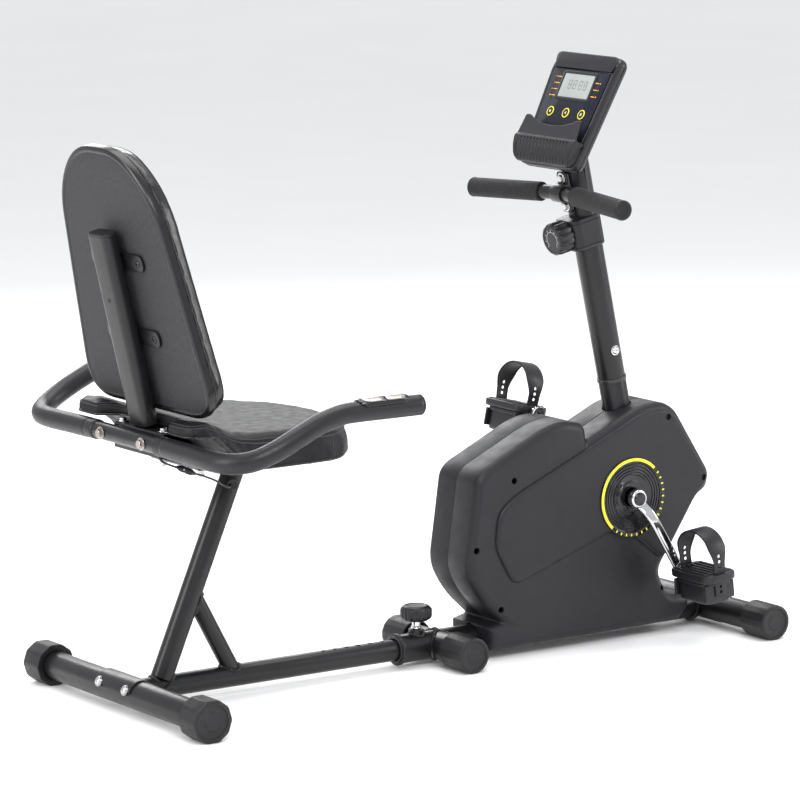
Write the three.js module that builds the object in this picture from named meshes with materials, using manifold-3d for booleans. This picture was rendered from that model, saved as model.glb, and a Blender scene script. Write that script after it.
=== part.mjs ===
// Recumbent magnetic exercise bike, in millimetres.
// +X points from the seat to the console, +Y to the rider's left and +Z up.
// Inside the model X is counted from the rear foot's axis and Z from the floor; the whole bike is then moved
// along X, so that its origin is the middle of its footprint.
import * as THREE from 'three';
import { mergeVertices } from 'three/addons/utils/BufferGeometryUtils.js';
import Module from 'manifold-3d';

const wasm = await Module();
wasm.setup();

// ---------------------------------------------------------------- driving dimensions
const GAP = 0.3; // between pieces that seat on, fit in or lie against each other
const CLEAR = 1.5; // around pieces that turn or slide past others
const WALL = 2; // steel tube wall
const ROUND = 16; // sides of a round tube or turned piece
const CORNER_STEPS = 2; // straight edges in each rounded corner of an outline

// floor frame
const RAIL_D = 38.1;
const RAIL_Z = 32.4;
const RAIL_END = 894;
const BEAM_D = 50.8;
const BEAM_START = 564;
const BEAM_END = 1214;
const BUSH_COLLAR_D = 57;
const BUSH_COLLAR = 8;
const BUSH_DEPTH = 60;
const REAR_FOOT_D = 50;
const REAR_FOOT_LENGTH = 558;
const REAR_CAP_D = 72; // across the flats
const REAR_CAP_LENGTH = 51;
const REAR_CAP_SIDES = 10;
const MID_FOOT_X = 643;
const MID_FOOT_LENGTH = 242;
const FRONT_FOOT_X = 1247;
const FRONT_FOOT_LENGTH = 436;
const FOOT_D = 50;
const FOOT_CAP_D = 64;
const FOOT_CAP_LENGTH = 64;
const FOOT_CAP_SIDES = 16;
const CAP_WALL = 5;
const SADDLE_WIDTH = 124;

// seat slide
const PIN_X = 602;
const PIN_D = 12;
const PIN_TIP_D = 8;
const PIN_BOSS_D = 27;
const PIN_BOSS_TOP = 65;
const HOLE_PITCH = 25;
const HOLES_FORWARD = 8; // rail holes for seat places ahead of this one
const HOLES_BACK = 4;
const PIN_KNOB_D = 57;
const PIN_KNOB_HEIGHT = 29;
const PIN_KNOB_TOP = 108.5;

// seat
const POST_D = 38.1;
const POST_FOOT = [85, 76]; // X and Z of a point on the post's axis
const POST_LEAN = 0.4306; // run along X for each millimetre up
const LEAD_HOLE_Z = 370;
const LEAD_HOLE_D = 22;
const BRACE_D = 30;
const BRACE_FOOT = [209, 51];
const BRACE_TOP = [134, 189];
const SEAT_DECK_Z = 416;
const SEAT_PLATE_Z = 484;
const SHEET = 4;
const SEAT_FRAME_WIDTH = 150;
const SEAT_WIDTH = 384;
const SEAT_REAR_X = 14;
const SEAT_FRONT_X = 430;
const SEAT_CORNER_X = 316;
const SEAT_BOTTOM_Z = 421;
const SEAT_TOP_Z = 481;
const SEAT_LIP_TOP_Z = 513;
const BOLT_NOTCH = { depth: 54, half: 84 }; // over the bolts beside the upright

// backrest, in its own frame: Z up the upright, X out of its front face
const BACK_ORIGIN = [33, 538];
const BACK_LEAN = THREE.MathUtils.degToRad(13.5);
const UPRIGHT = { width: 60, depth: 30, corner: 13, low: -50, high: 284 };
const STRAPS = { low: 102, high: 234, width: 164, height: 30, thick: 4 };
const BOARD_FACE = UPRIGHT.depth / 2 + STRAPS.thick + 2 * GAP;
const BOARD_THICK = 15;
const CUSHION_THICK = 33;
const BACK_LOW = -31;
const BACK_TOP = 429;
const BACK_HALF_LOW = 202;
const BACK_HALF_HIGH = 150;
const BACK_SHOULDER = 350;

// rear handlebar
const BAR_X = 13;
const BAR_Z = 468;
const BAR_D = 30;
const BAR_COVER_D = 35;
const BAR_HALF = 350;
const BAR_BARE = 166;
const GRIP_END_X = 362;
const GRIP_Z = 538;
const HALF_BAR = [ // the left half, from its free end in to the bare middle
  [GRIP_END_X, BAR_HALF, GRIP_Z], [300, BAR_HALF, GRIP_Z], [238, BAR_HALF, GRIP_Z], [205, BAR_HALF, 536],
  [165, BAR_HALF, 526], [120, BAR_HALF, 507], [80, BAR_HALF - 4, 488], [46, BAR_HALF - 18, 473],
  [23, BAR_HALF - 45, 467], [BAR_X, BAR_HALF - 86, 466], [BAR_X, BAR_HALF - 170, 467],
];
const BAR_STEPS = 36;
const PULSE_X = [238, 334];
const PULSE_WIDTH = 30;
const PULSE_THICK = 2.5;

// pulse lead
const LEAD_D = 3.6;
const PLUG = { length: 36, width: 11 };
const LEAD = [
  [16, -92, 447], [20, -97, 440], [31, -107, 434], [44, -118, 429], [58, -121, 423],
  [76, -113, 416], [94, -101, 410],
  [112, -89, 403], [130, -78, 396], [147, -67, 388], [162, -56, 380], [175, -47, 374], [187, -38, 370],
  [197, -27, 369], [204, -13, 370],
];
const LEAD_STEPS = 20;

// crank
const CRANK_X = 1030;
const CRANK_Z = 265;
const CRANK_LENGTH = 160;
const CRANK_ANGLE = THREE.MathUtils.degToRad(58.5); // right arm, below the horizontal
const AXLE_D = 16;
const SHELL_D = 40;
const SHELL_WIDTH = 68;
const ARM_START = 84;
const ARM_OUT = 102;
const ARM_WIDTH = 20;
const ARM_THICK = 10;
const PULLEY_R = 104;
const PULLEY_Y = [37, 46];
const DISH_R = 73;
const DISH_HUB_R = 15;

// pedals
const PEDAL_WIDTH = 116;
const PEDAL_DEPTH = 72;
const PEDAL_PLATE = 16;
const PEDAL_BODY_DROP = 44;
const PEDAL_Y = 172;
const PEDAL_TILT = { right: THREE.MathUtils.degToRad(-6), left: THREE.MathUtils.degToRad(12) };
const STRAP_WIDTH = 38;
const STRAP_THICK = 3.2;
const STRAP_HALF = 46;
const STRAP_TOP = 88;
const STRAP_TAIL = 30;

// flywheel
const FLYWHEEL = { x: 806, z: 232, r: 98, thick: 20, pulleyR: 19, axleD: 16, bore: 16.4 };
const FORK_Y = [-20, 52];
const FORK_THICK = 4;
const MAGNET_PIVOT = [880, 345];
const MAGNET_PIN_D = 6;
const BRACKET_Y = -18;

// casing
const CASE_HALF = 64;
const CASE_PANEL_HALF = 70;
const CASE_WALL = 3;
const CASE_BEVEL = 13;
const PANEL_BEVEL = 6;
const CASE_OUTLINE = [ // [x, z, corner radius]
  [749, 67, 8], [720, 60], [722, 18, 4], [1150, 21, 8], [1173, 46, 6], [1172, 68, 6],
  [1124, 72, 20], [1100, 120, 20],
  [1187, 248, 12], [1212, 262, 10], [1219, 290, 14], [1137, 415, 26], [1108, 431, 20], [1050, 428, 30],
  [936, 376, 6], [930, 408, 14], [880, 418, 20], [838, 408, 20], [704, 346, 24], [690, 330, 14],
  [667, 168, 26],
  [700, 112, 30],
];
const PANEL_OUTLINE = [
  [768, 132, 22], [1010, 214], [1104, 140, 20], [1178, 250, 12], [1200, 268, 12], [1207, 290, 12],
  [1128, 410, 26],
  [1104, 420, 20], [1052, 417, 30], [930, 364, 20], [770, 296, 30], [733, 268, 20], [727, 205, 20],
];

// mast, in its own frame: Z up the tube, X away from the rider
const MAST_D = 50.8;
const MAST_FOOT = [1044, 433]; // X and Z of a point on the mast's axis
const MAST_LEAN = THREE.MathUtils.degToRad(12.5);
const MAST_JOINT_Z = 474;
const MAST_TOP_Z = 925;
const NECK_LENGTH = 90;
const STRUT_D = 44; // from the floor beam up to the mast's lower tube
const STRUT_X = 1048;
const STRUT_TOP_Z = 225;
const TENSION_Z = 751;
const TENSION = { width: 60, depth: 46, low: -30, high: 27 };
const TENSION_KNOB = { d: 60, length: 32 };

// front handlebar
const FRONT_BAR_D = 25.4;
const FRONT_BAR_Z = 826; // where its clamp crosses the mast's axis
const FRONT_BAR_OFFSET = MAST_D / 2 + FRONT_BAR_D / 2 + 1.95; // from the mast's axis
const FRONT_BAR_HALF = 217;
const FRONT_BAR_SWEEP = 32;
const FRONT_GRIP_D = 35;
const FRONT_GRIP_START = 48;

// console, in its own frame: Z up its face, X away from the rider
const CONSOLE_FOOT = [918, 941];
const CONSOLE_LEAN = THREE.MathUtils.degToRad(27);
const CONSOLE = { low: -80, high: 138, halfLow: 80, halfHigh: 93, thick: 28, split: 15 };
const LCD = { width: 86, low: 51, high: 96, thick: 2 };
const BUTTON = { r: 9.5, z: 21.5, pitch: 45, proud: 1.6, travel: 1.2, depth: 5 };
const REST_SLOT = 18;
const REST_WALL = 3;
const REST_FLOOR = -33;
const REST_TOP = 3;

// ---------------------------------------------------------------- solids
const UP = new THREE.Vector3(0, 1, 0);

// one closed skin with shared corners and its faces pointing out
function closed(geometry) {
  const bare = geometry.index ? geometry.toNonIndexed() : geometry.clone();
  bare.deleteAttribute('normal');
  bare.deleteAttribute('uv');
  const merged = mergeVertices(bare, 1e-4);
  const p = merged.attributes.position;
  const index = merged.index.array;
  const corners = [new THREE.Vector3(), new THREE.Vector3(), new THREE.Vector3()];
  let volume = 0;
  for (let i = 0; i < index.length; i += 3) {
    corners.forEach((corner, k) => corner.fromBufferAttribute(p, index[i + k]));
    volume += corners[0].dot(corners[1].cross(corners[2]));
  }
  if (volume < 0) {
    for (let i = 0; i < index.length; i += 3) [index[i], index[i + 1]] = [index[i + 1], index[i]];
  }
  return merged;
}

function solid(geometry) {
  const skin = closed(geometry);
  return new wasm.Manifold(new wasm.Mesh({
    numProp: 3,
    vertProperties: Float32Array.from(skin.attributes.position.array),
    triVerts: Uint32Array.from(skin.index.array),
  }));
}

function skinOf(manifold) {
  const mesh = manifold.getMesh();
  const geometry = new THREE.BufferGeometry();
  geometry.setAttribute('position', new THREE.BufferAttribute(Float32Array.from(mesh.vertProperties), 3));
  geometry.setIndex(new THREE.BufferAttribute(Uint32Array.from(mesh.triVerts), 1));
  return geometry;
}

const join = (...shapes) => skinOf(shapes.map(solid).reduce((sum, shape) => sum.add(shape)));
const cut = (shape, ...tools) => skinOf(
  tools.map(solid).reduce((rest, tool) => rest.subtract(tool), solid(shape)),
);
const common = (a, b) => skinOf(solid(a).intersect(solid(b)));

// radius of a polygon's corners, from the distance to its flats
const corner = (flat, sides = ROUND) => flat / Math.cos(Math.PI / sides);

// turned solid about Y from [radius, y] pairs, which start and end on the axis
function turned(profile, sides = ROUND) {
  return new THREE.LatheGeometry(profile.map(([r, y]) => new THREE.Vector2(r, y)), sides);
}

// hollow tube about Y from y = 0
function pipe(outer, inner, length, sides = ROUND) {
  const profile = [[inner, 0], [outer, 0], [outer, length], [inner, length], [inner, 0]];
  return turned(profile, sides);
}

function rod(radius, length, sides = ROUND) {
  return new THREE.CylinderGeometry(radius, radius, length, sides).translate(0, length / 2, 0);
}

// moves something built along Y so that it runs from one point towards another
function aim(geometry, from, to) {
  const start = new THREE.Vector3(...from);
  const direction = new THREE.Vector3(...to).sub(start).normalize();
  const turn = new THREE.Quaternion().setFromUnitVectors(UP, direction);
  return geometry.applyQuaternion(turn).translate(...from);
}

const length = (from, to) => new THREE.Vector3(...from).distanceTo(new THREE.Vector3(...to));
const rodBetween = (from, to, radius, sides = ROUND) => aim(rod(radius, length(from, to), sides), from, to);

function pipeBetween(from, to, outer, inner, sides = ROUND) {
  return aim(pipe(outer, inner, length(from, to), sides), from, to);
}

function block([x0, x1], [y0, y1], [z0, z1]) {
  const box = new THREE.BoxGeometry(x1 - x0, y1 - y0, z1 - z0);
  return box.translate((x0 + x1) / 2, (y0 + y1) / 2, (z0 + z1) / 2);
}

function extruded(shape, depth, curveSegments) {
  return new THREE.ExtrudeGeometry(shape, { depth, curveSegments, bevelEnabled: false });
}

// outline in X and Z, carried along Y from y0 to y1
function plateXZ(shape, [y0, y1], curveSegments = 6) {
  return extruded(shape, y1 - y0, curveSegments).rotateX(Math.PI / 2).translate(0, y1, 0);
}

// outline in Y and Z, carried along X from x0 to x1
function plateYZ(shape, [x0, x1], curveSegments = 6) {
  const made = extruded(shape, x1 - x0, curveSegments);
  return made.rotateX(Math.PI / 2).rotateZ(Math.PI / 2).translate(x0, 0, 0);
}

// outline in X and Y, carried up Z from z0 to z1
function plateXY(shape, [z0, z1], curveSegments = 6) {
  return extruded(shape, z1 - z0, curveSegments).translate(0, 0, z0);
}

// outline through [a, b] points, with each corner that has a third number rounded to about that radius
function outline(points) {
  const at = points.map(([a, b]) => new THREE.Vector2(a, b));
  const made = [];
  points.forEach(([, , radius = 0], i) => {
    const here = at[i];
    const before = at[(i + at.length - 1) % at.length].clone().sub(here);
    const after = at[(i + 1) % at.length].clone().sub(here);
    const reach = Math.min(radius, before.length() * 0.49, after.length() * 0.49);
    if (reach === 0) {
      made.push(here);
      return;
    }
    const start = here.clone().add(before.setLength(reach));
    const end = here.clone().add(after.setLength(reach));
    made.push(...new THREE.QuadraticBezierCurve(start, here, end).getPoints(CORNER_STEPS));
  });
  return new THREE.Shape(made);
}

// the same corners moved inwards by a margin, for an outline that runs anticlockwise
function inset(points, margin) {
  return points.map(([a, b, radius], i) => {
    const [beforeA, beforeB] = points[(i + points.length - 1) % points.length];
    const [afterA, afterB] = points[(i + 1) % points.length];
    const before = new THREE.Vector2(a - beforeA, b - beforeB).normalize();
    const after = new THREE.Vector2(afterA - a, afterB - b).normalize();
    const inward = new THREE.Vector2(-before.y - after.y, before.x + after.x).normalize();
    const reach = margin / Math.max(0.4, inward.x * -before.y + inward.y * before.x);
    return [a + inward.x * reach, b + inward.y * reach, radius];
  });
}

// solid through rings of X and Z points at rising Y, all with the same number of points
function loftXZ(rings) {
  const count = rings[0][1].length;
  const positions = rings.flatMap(([y, ring]) => ring.flatMap((p) => [p.x, y, p.y]));
  const index = [];
  rings.slice(1).forEach((_, k) => {
    for (let i = 0; i < count; i += 1) {
      const j = (i + 1) % count;
      const [a, b, c, d] = [k * count + i, k * count + j, (k + 1) * count + i, (k + 1) * count + j];
      index.push(a, c, b, b, c, d);
    }
  });
  const last = (rings.length - 1) * count;
  const faces = (ring) => THREE.ShapeUtils.triangulateShape(ring, []);
  for (const [a, b, c] of faces(rings[0][1])) index.push(a, b, c);
  for (const [a, b, c] of faces(rings.at(-1)[1])) index.push(last + a, last + c, last + b);
  const geometry = new THREE.BufferGeometry();
  geometry.setAttribute('position', new THREE.Float32BufferAttribute(positions, 3));
  geometry.setIndex(index);
  return geometry;
}

function roundedRectangle(width, height, radius) {
  const [w, h] = [width / 2, height / 2];
  return outline([[-w, -h, radius], [w, -h, radius], [w, h, radius], [-w, h, radius]]);
}

// a round section with this many sides, with a hole if inner is given
function roundSection(outer, inner, sides) {
  const ringOf = (radius) => Array.from({ length: sides }, (_, k) => {
    const angle = (2 * Math.PI * k) / sides;
    return new THREE.Vector2(radius * Math.cos(angle), radius * Math.sin(angle));
  });
  const shape = new THREE.Shape(ringOf(outer));
  if (inner) shape.holes.push(new THREE.Path(ringOf(inner)));
  return shape;
}

// part of a curve, from its step a to its step b out of all its steps
class Stretch extends THREE.Curve {
  constructor(curve, a, b, steps) {
    super();
    Object.assign(this, { curve, a, b, steps });
  }

  getPoint(t, target = new THREE.Vector3()) {
    return this.curve.getPointAt((this.a + (this.b - this.a) * t) / this.steps, target);
  }
}

const bend = (shape, extrudePath, steps) => new THREE.ExtrudeGeometry(shape, { steps, extrudePath });
const curveThrough = (points) => new THREE.CatmullRomCurve3(points.map((p) => new THREE.Vector3(...p)));

// ---------------------------------------------------------------- finishes
function finish(color, roughness, metalness = 0) {
  return new THREE.MeshStandardMaterial({ color, roughness, metalness });
}
const STEEL_PAINT = [0x1b1b1f, 0.45, 0.3];
const CHROME = [0xc8c8cc, 0.15, 1];
const PLASTIC = [0x17171a, 0.55];
const RUBBER = [0x121214, 0.85];
const VINYL = [0x1a1a1c, 0.6];
const BARE_STEEL = [0x8a8c90, 0.4, 1];

const bike = new THREE.Group();
const frame = new THREE.Group();
const carriage = new THREE.Group();
bike.add(frame, carriage);

function piece(parent, name, geometry, looks, place = [0, 0, 0]) {
  const mesh = new THREE.Mesh(closed(geometry), finish(...looks));
  mesh.name = name;
  mesh.position.set(...place);
  parent.add(mesh);
  return mesh;
}

function group(parent, place, turn = 0) {
  const made = new THREE.Group();
  made.position.set(...place);
  made.rotation.y = turn;
  parent.add(made);
  return made;
}

const SIDES = [['right', -1], ['left', 1]];

// ---------------------------------------------------------------- shared axes
const postAt = (z) => [POST_FOOT[0] + POST_LEAN * (z - POST_FOOT[1]), 0, z];
const mastAt = (z) => [MAST_FOOT[0] - Math.tan(MAST_LEAN) * (z - MAST_FOOT[1]), 0, z];
const beamR = BEAM_D / 2;
const beamBore = beamR - 2.4;
const railR = RAIL_D / 2;
const mastR = MAST_D / 2;
const rearFootZ = REAR_CAP_D / 2;
const footZ = FOOT_CAP_D / 2;

// ---------------------------------------------------------------- feet
// end cap that closes a foot tube: its open end faces -Y and its end face is at y = 0
function footCap(flatR, capLength, tubeR, sides) {
  const outer = corner(flatR, sides);
  const bore = corner(tubeR + GAP, sides);
  const profile = [
    [0, -1.5], [outer * 0.76, -1.5], [outer * 0.8, 0], [outer - 3, 0], [outer, -3], [outer, -capLength],
    [bore, -capLength], [bore, -CAP_WALL], [0, -CAP_WALL],
  ];
  return turned(profile, sides).rotateY(Math.PI / sides);
}

function capOf(parent, name, side, [x, y, z], flatR, capLength, tubeR, sides) {
  const cap = piece(parent, name, footCap(flatR, capLength, tubeR, sides), RUBBER, [x, side * y, z]);
  if (side < 0) cap.rotation.z = Math.PI;
}

function buildRearFoot() {
  const half = REAR_FOOT_LENGTH / 2;
  const end = half - CAP_WALL - GAP;
  const axis = [[0, -end, rearFootZ], [0, end, rearFootZ]];
  const tube = pipeBetween(...axis, REAR_FOOT_D / 2, REAR_FOOT_D / 2 - WALL);
  piece(carriage, 'rear_foot_tube', tube, STEEL_PAINT);
  for (const [word, side] of SIDES) {
    const place = [0, half, rearFootZ];
    capOf(carriage, `rear_foot_cap_${word}`, side, place, REAR_CAP_D / 2, REAR_CAP_LENGTH, REAR_FOOT_D / 2,
      REAR_CAP_SIDES);
  }
}

function buildFrontFoot() {
  const half = FRONT_FOOT_LENGTH / 2;
  const end = half - CAP_WALL - GAP;
  const [from, to] = [[FRONT_FOOT_X, -end, footZ], [FRONT_FOOT_X, end, footZ]];
  piece(frame, 'front_foot_tube', pipeBetween(from, to, FOOT_D / 2, FOOT_D / 2 - WALL), STEEL_PAINT);
  for (const [word, side] of SIDES) {
    const place = [FRONT_FOOT_X, half, footZ];
    capOf(frame, `front_foot_cap_${word}`, side, place, FOOT_CAP_D / 2, FOOT_CAP_LENGTH, FOOT_D / 2,
      FOOT_CAP_SIDES);
  }
}

// ---------------------------------------------------------------- floor beam, with what is welded to it
function buildBeam() {
  const along = (x0, x1, r, sides = ROUND) => rodBetween([x0, 0, RAIL_Z], [x1, 0, RAIL_Z], r, sides);
  const across = (y0, y1, x, r) => rodBetween([x, y0, footZ], [x, y1, footZ], r);
  const stubEnd = MID_FOOT_LENGTH / 2 - CAP_WALL - GAP;
  const saddleR = FOOT_D / 2 + 3.5;
  const saddle = common(
    across(-SADDLE_WIDTH / 2, SADDLE_WIDTH / 2, FRONT_FOOT_X, saddleR),
    block([FRONT_FOOT_X - saddleR, FRONT_FOOT_X + 4], [-SADDLE_WIDTH, SADDLE_WIDTH], [0, 4 * saddleR]),
  );
  const boss = rodBetween([PIN_X, 0, RAIL_Z + beamBore + 1], [PIN_X, 0, PIN_BOSS_TOP], PIN_BOSS_D / 2, 16);
  const outside = join(
    along(BEAM_START, BEAM_END, beamR),
    across(-stubEnd, stubEnd, MID_FOOT_X, FOOT_D / 2),
    along(BEAM_END - 1, FRONT_FOOT_X - FOOT_D / 2, beamR),
    saddle,
    boss,
  );
  const hollows = [
    along(BEAM_START - 1, BEAM_END - 6, beamBore),
    across(beamR + 1, stubEnd + 1, MID_FOOT_X, FOOT_D / 2 - WALL),
    across(-stubEnd - 1, -beamR - 1, MID_FOOT_X, FOOT_D / 2 - WALL),
    across(-SADDLE_WIDTH, SADDLE_WIDTH, FRONT_FOOT_X, corner(FOOT_D / 2 + GAP)),
    rodBetween([PIN_X, 0, RAIL_Z], [PIN_X, 0, PIN_BOSS_TOP + 1], corner(PIN_D / 2 + GAP, 16), 16),
  ];
  piece(frame, 'floor_beam', cut(outside, ...hollows), STEEL_PAINT);
  for (const [word, side] of SIDES) {
    const place = [MID_FOOT_X, MID_FOOT_LENGTH / 2, footZ];
    capOf(frame, `middle_foot_cap_${word}`, side, place, FOOT_CAP_D / 2, FOOT_CAP_LENGTH, FOOT_D / 2,
      FOOT_CAP_SIDES);
  }
  const bore = corner(railR + GAP);
  const plug = beamBore * Math.cos(Math.PI / ROUND) - GAP;
  const bush = [
    [bore, -BUSH_COLLAR], [BUSH_COLLAR_D / 2, -BUSH_COLLAR], [BUSH_COLLAR_D / 2, -GAP], [plug, -GAP],
    [plug, BUSH_DEPTH], [bore, BUSH_DEPTH], [bore, -BUSH_COLLAR],
  ];
  const pinWay = rodBetween([PIN_X, 0, RAIL_Z], [PIN_X, 0, RAIL_Z + beamR], PIN_D / 2 + 1, 12);
  const bushing = aim(turned(bush), [BEAM_START, 0, RAIL_Z], [BEAM_END, 0, RAIL_Z]);
  piece(frame, 'rail_bushing', cut(bushing, pinWay), PLASTIC);
}

// ---------------------------------------------------------------- pull pin
function fluted(radius, depth, lobes, perLobe = 4) {
  const count = lobes * perLobe;
  return new THREE.Shape(Array.from({ length: count }, (_, k) => {
    const angle = (2 * Math.PI * k) / count;
    const r = radius - (k % perLobe === 0 ? depth : 0);
    return new THREE.Vector2(r * Math.cos(angle), r * Math.sin(angle));
  }));
}

function buildPullPin() {
  const plunger = group(frame, [PIN_X, 0, 0]);
  const tip = RAIL_Z + railR + GAP + 0.2;
  const knobLow = PIN_KNOB_TOP - PIN_KNOB_HEIGHT;
  const top = PIN_KNOB_TOP - 12;
  const pin = turned([
    [0, tip], [PIN_TIP_D / 2, tip], [PIN_TIP_D / 2, tip + 5], [PIN_D / 2, tip + 7],
    [PIN_D / 2, top], [0, top],
  ], 16).rotateX(Math.PI / 2);
  piece(plunger, 'pull_pin', pin, CHROME);
  const body = plateXY(fluted(PIN_KNOB_D / 2, 1.8, 16), [knobLow, PIN_KNOB_TOP]);
  const socket = rodBetween([0, 0, knobLow - 1], [0, 0, top + GAP], corner(PIN_D / 2 + GAP, 16), 16);
  piece(plunger, 'pull_knob', cut(body, socket), PLASTIC);
}

// ---------------------------------------------------------------- seat carriage
function buildRail() {
  const start = REAR_FOOT_D / 2 + GAP;
  const rail = pipeBetween([start, 0, RAIL_Z], [RAIL_END, 0, RAIL_Z], railR, railR - WALL);
  const holes = [];
  for (let k = -HOLES_FORWARD; k <= HOLES_BACK; k += 1) {
    const x = PIN_X + k * HOLE_PITCH;
    holes.push(rodBetween([x, 0, RAIL_Z], [x, 0, RAIL_Z + RAIL_D], PIN_TIP_D / 2 + 0.7, 8));
  }
  piece(carriage, 'seat_rail', cut(rail, ...holes), STEEL_PAINT);
}

function buildPost() {
  const low = postAt(RAIL_Z);
  const high = postAt(SEAT_DECK_Z - SHEET + 30);
  const brace = [[BRACE_FOOT[0] + 8, 0, BRACE_FOOT[1] - 15], [BRACE_TOP[0], 0, BRACE_TOP[1]]];
  const post = pipeBetween(low, high, POST_D / 2, POST_D / 2 - WALL);
  const strut = cut(rodBetween(...brace, BRACE_D / 2, 16), rodBetween(low, high, POST_D / 2 - 1));
  const rail = rodBetween([-50, 0, RAIL_Z], [400, 0, RAIL_Z], corner(railR + GAP));
  const below = block([-50, 400], [-50, 50], [-40, RAIL_Z]);
  const foot = rodBetween([0, -60, rearFootZ], [0, 60, rearFootZ], corner(REAR_FOOT_D / 2 + GAP));
  const above = block([0, 400], [-50, 50], [SEAT_DECK_Z - SHEET - GAP, SEAT_DECK_Z + 60]);
  const holeX = postAt(LEAD_HOLE_Z)[0];
  const leadHole = rodBetween([holeX, 0, LEAD_HOLE_Z], [holeX - 14, -60, LEAD_HOLE_Z], LEAD_HOLE_D / 2, 12);
  piece(carriage, 'seat_post', cut(join(post, strut), rail, below, foot, above, leadHole), STEEL_PAINT);
}

function buildSeatFrame() {
  const wallX = BAR_X + BAR_D / 2 + GAP + 2;
  const plateEnd = wallX + 42;
  const rampEnd = plateEnd + 34;
  const deckEnd = SEAT_CORNER_X + 14;
  const sheet = outline([
    [wallX, BAR_Z - 28], [wallX + SHEET, BAR_Z - 28], [wallX + SHEET, SEAT_PLATE_Z - SHEET],
    [plateEnd - 2, SEAT_PLATE_Z - SHEET], [rampEnd - 3, SEAT_DECK_Z - SHEET],
    [deckEnd, SEAT_DECK_Z - SHEET],
    [deckEnd, SEAT_DECK_Z], [rampEnd, SEAT_DECK_Z], [plateEnd, SEAT_PLATE_Z], [wallX, SEAT_PLATE_Z],
  ]);
  const half = SEAT_FRAME_WIDTH / 2;
  piece(carriage, 'seat_frame', plateXZ(sheet, [-half, half]), STEEL_PAINT);
}

function buildSeatCushion() {
  const half = SEAT_WIDTH / 2;
  const low = SEAT_PLATE_Z + 4;
  const side = outline([
    [SEAT_REAR_X, low], [74, low], [112, SEAT_BOTTOM_Z + 5, 20], [150, SEAT_BOTTOM_Z],
    [SEAT_FRONT_X, SEAT_BOTTOM_Z + 2], [SEAT_FRONT_X, SEAT_TOP_Z - 2, 30], [250, SEAT_TOP_Z, 60],
    [140, SEAT_TOP_Z + 2, 30], [78, SEAT_LIP_TOP_Z - 12, 20], [50, SEAT_LIP_TOP_Z, 10],
    [SEAT_REAR_X, SEAT_LIP_TOP_Z - 4, 8],
  ]);
  const plan = outline([
    [SEAT_REAR_X, -half, 50], [SEAT_CORNER_X, -half, 40], [SEAT_FRONT_X - 30, -half + 95, 60],
    [SEAT_FRONT_X, 0, 90], [SEAT_FRONT_X - 30, half - 95, 60], [SEAT_CORNER_X, half, 40],
    [SEAT_REAR_X, half, 50],
  ]);
  const notchHalf = UPRIGHT.width / 2 + 5;
  const notch = join(
    block([0, 68], [-notchHalf, notchHalf], [low - 10, SEAT_LIP_TOP_Z + 20]),
    block([0, BOLT_NOTCH.depth], [-BOLT_NOTCH.half, BOLT_NOTCH.half], [low - 10, SEAT_LIP_TOP_Z + 20]),
  );
  const pad = common(plateXZ(side, [-half, half]), plateXY(plan, [SEAT_BOTTOM_Z - 5, SEAT_LIP_TOP_Z + 5]));
  piece(carriage, 'seat_cushion', cut(pad, notch), VINYL);
}

function buildBackrest() {
  const back = group(carriage, [BACK_ORIGIN[0], 0, BACK_ORIGIN[1]], -BACK_LEAN);
  const { width, depth, corner: radius, low, high } = UPRIGHT;
  const section = roundedRectangle(depth, width, radius);
  section.holes.push(roundedRectangle(depth - 2 * WALL, width - 2 * WALL, radius - WALL));
  piece(back, 'backrest_upright', plateXY(section, [low, high]), STEEL_PAINT);
  const strapShape = roundedRectangle(STRAPS.width, STRAPS.height, STRAPS.height / 2);
  for (const [word, z] of [['lower', STRAPS.low], ['upper', STRAPS.high]]) {
    const start = depth / 2 + GAP;
    const strap = plateYZ(strapShape, [start, start + STRAPS.thick]);
    piece(back, `backrest_strap_${word}`, strap, STEEL_PAINT, [0, 0, z]);
  }
  const shield = (margin) => outline([
    [-BACK_HALF_LOW + margin, BACK_LOW + margin, 75], [BACK_HALF_LOW - margin, BACK_LOW + margin, 75],
    [BACK_HALF_HIGH - margin, BACK_SHOULDER, 70], [70, BACK_TOP - margin, 80],
    [-70, BACK_TOP - margin, 80], [-BACK_HALF_HIGH + margin, BACK_SHOULDER, 70],
  ]);
  const boardEnd = BOARD_FACE + BOARD_THICK;
  piece(back, 'backrest_board', plateYZ(shield(0), [BOARD_FACE, boardEnd]), PLASTIC);
  const cushionStart = boardEnd + GAP;
  piece(back, 'backrest_cushion', plateYZ(shield(2), [cushionStart, cushionStart + CUSHION_THICK]), VINYL);
}

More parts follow.
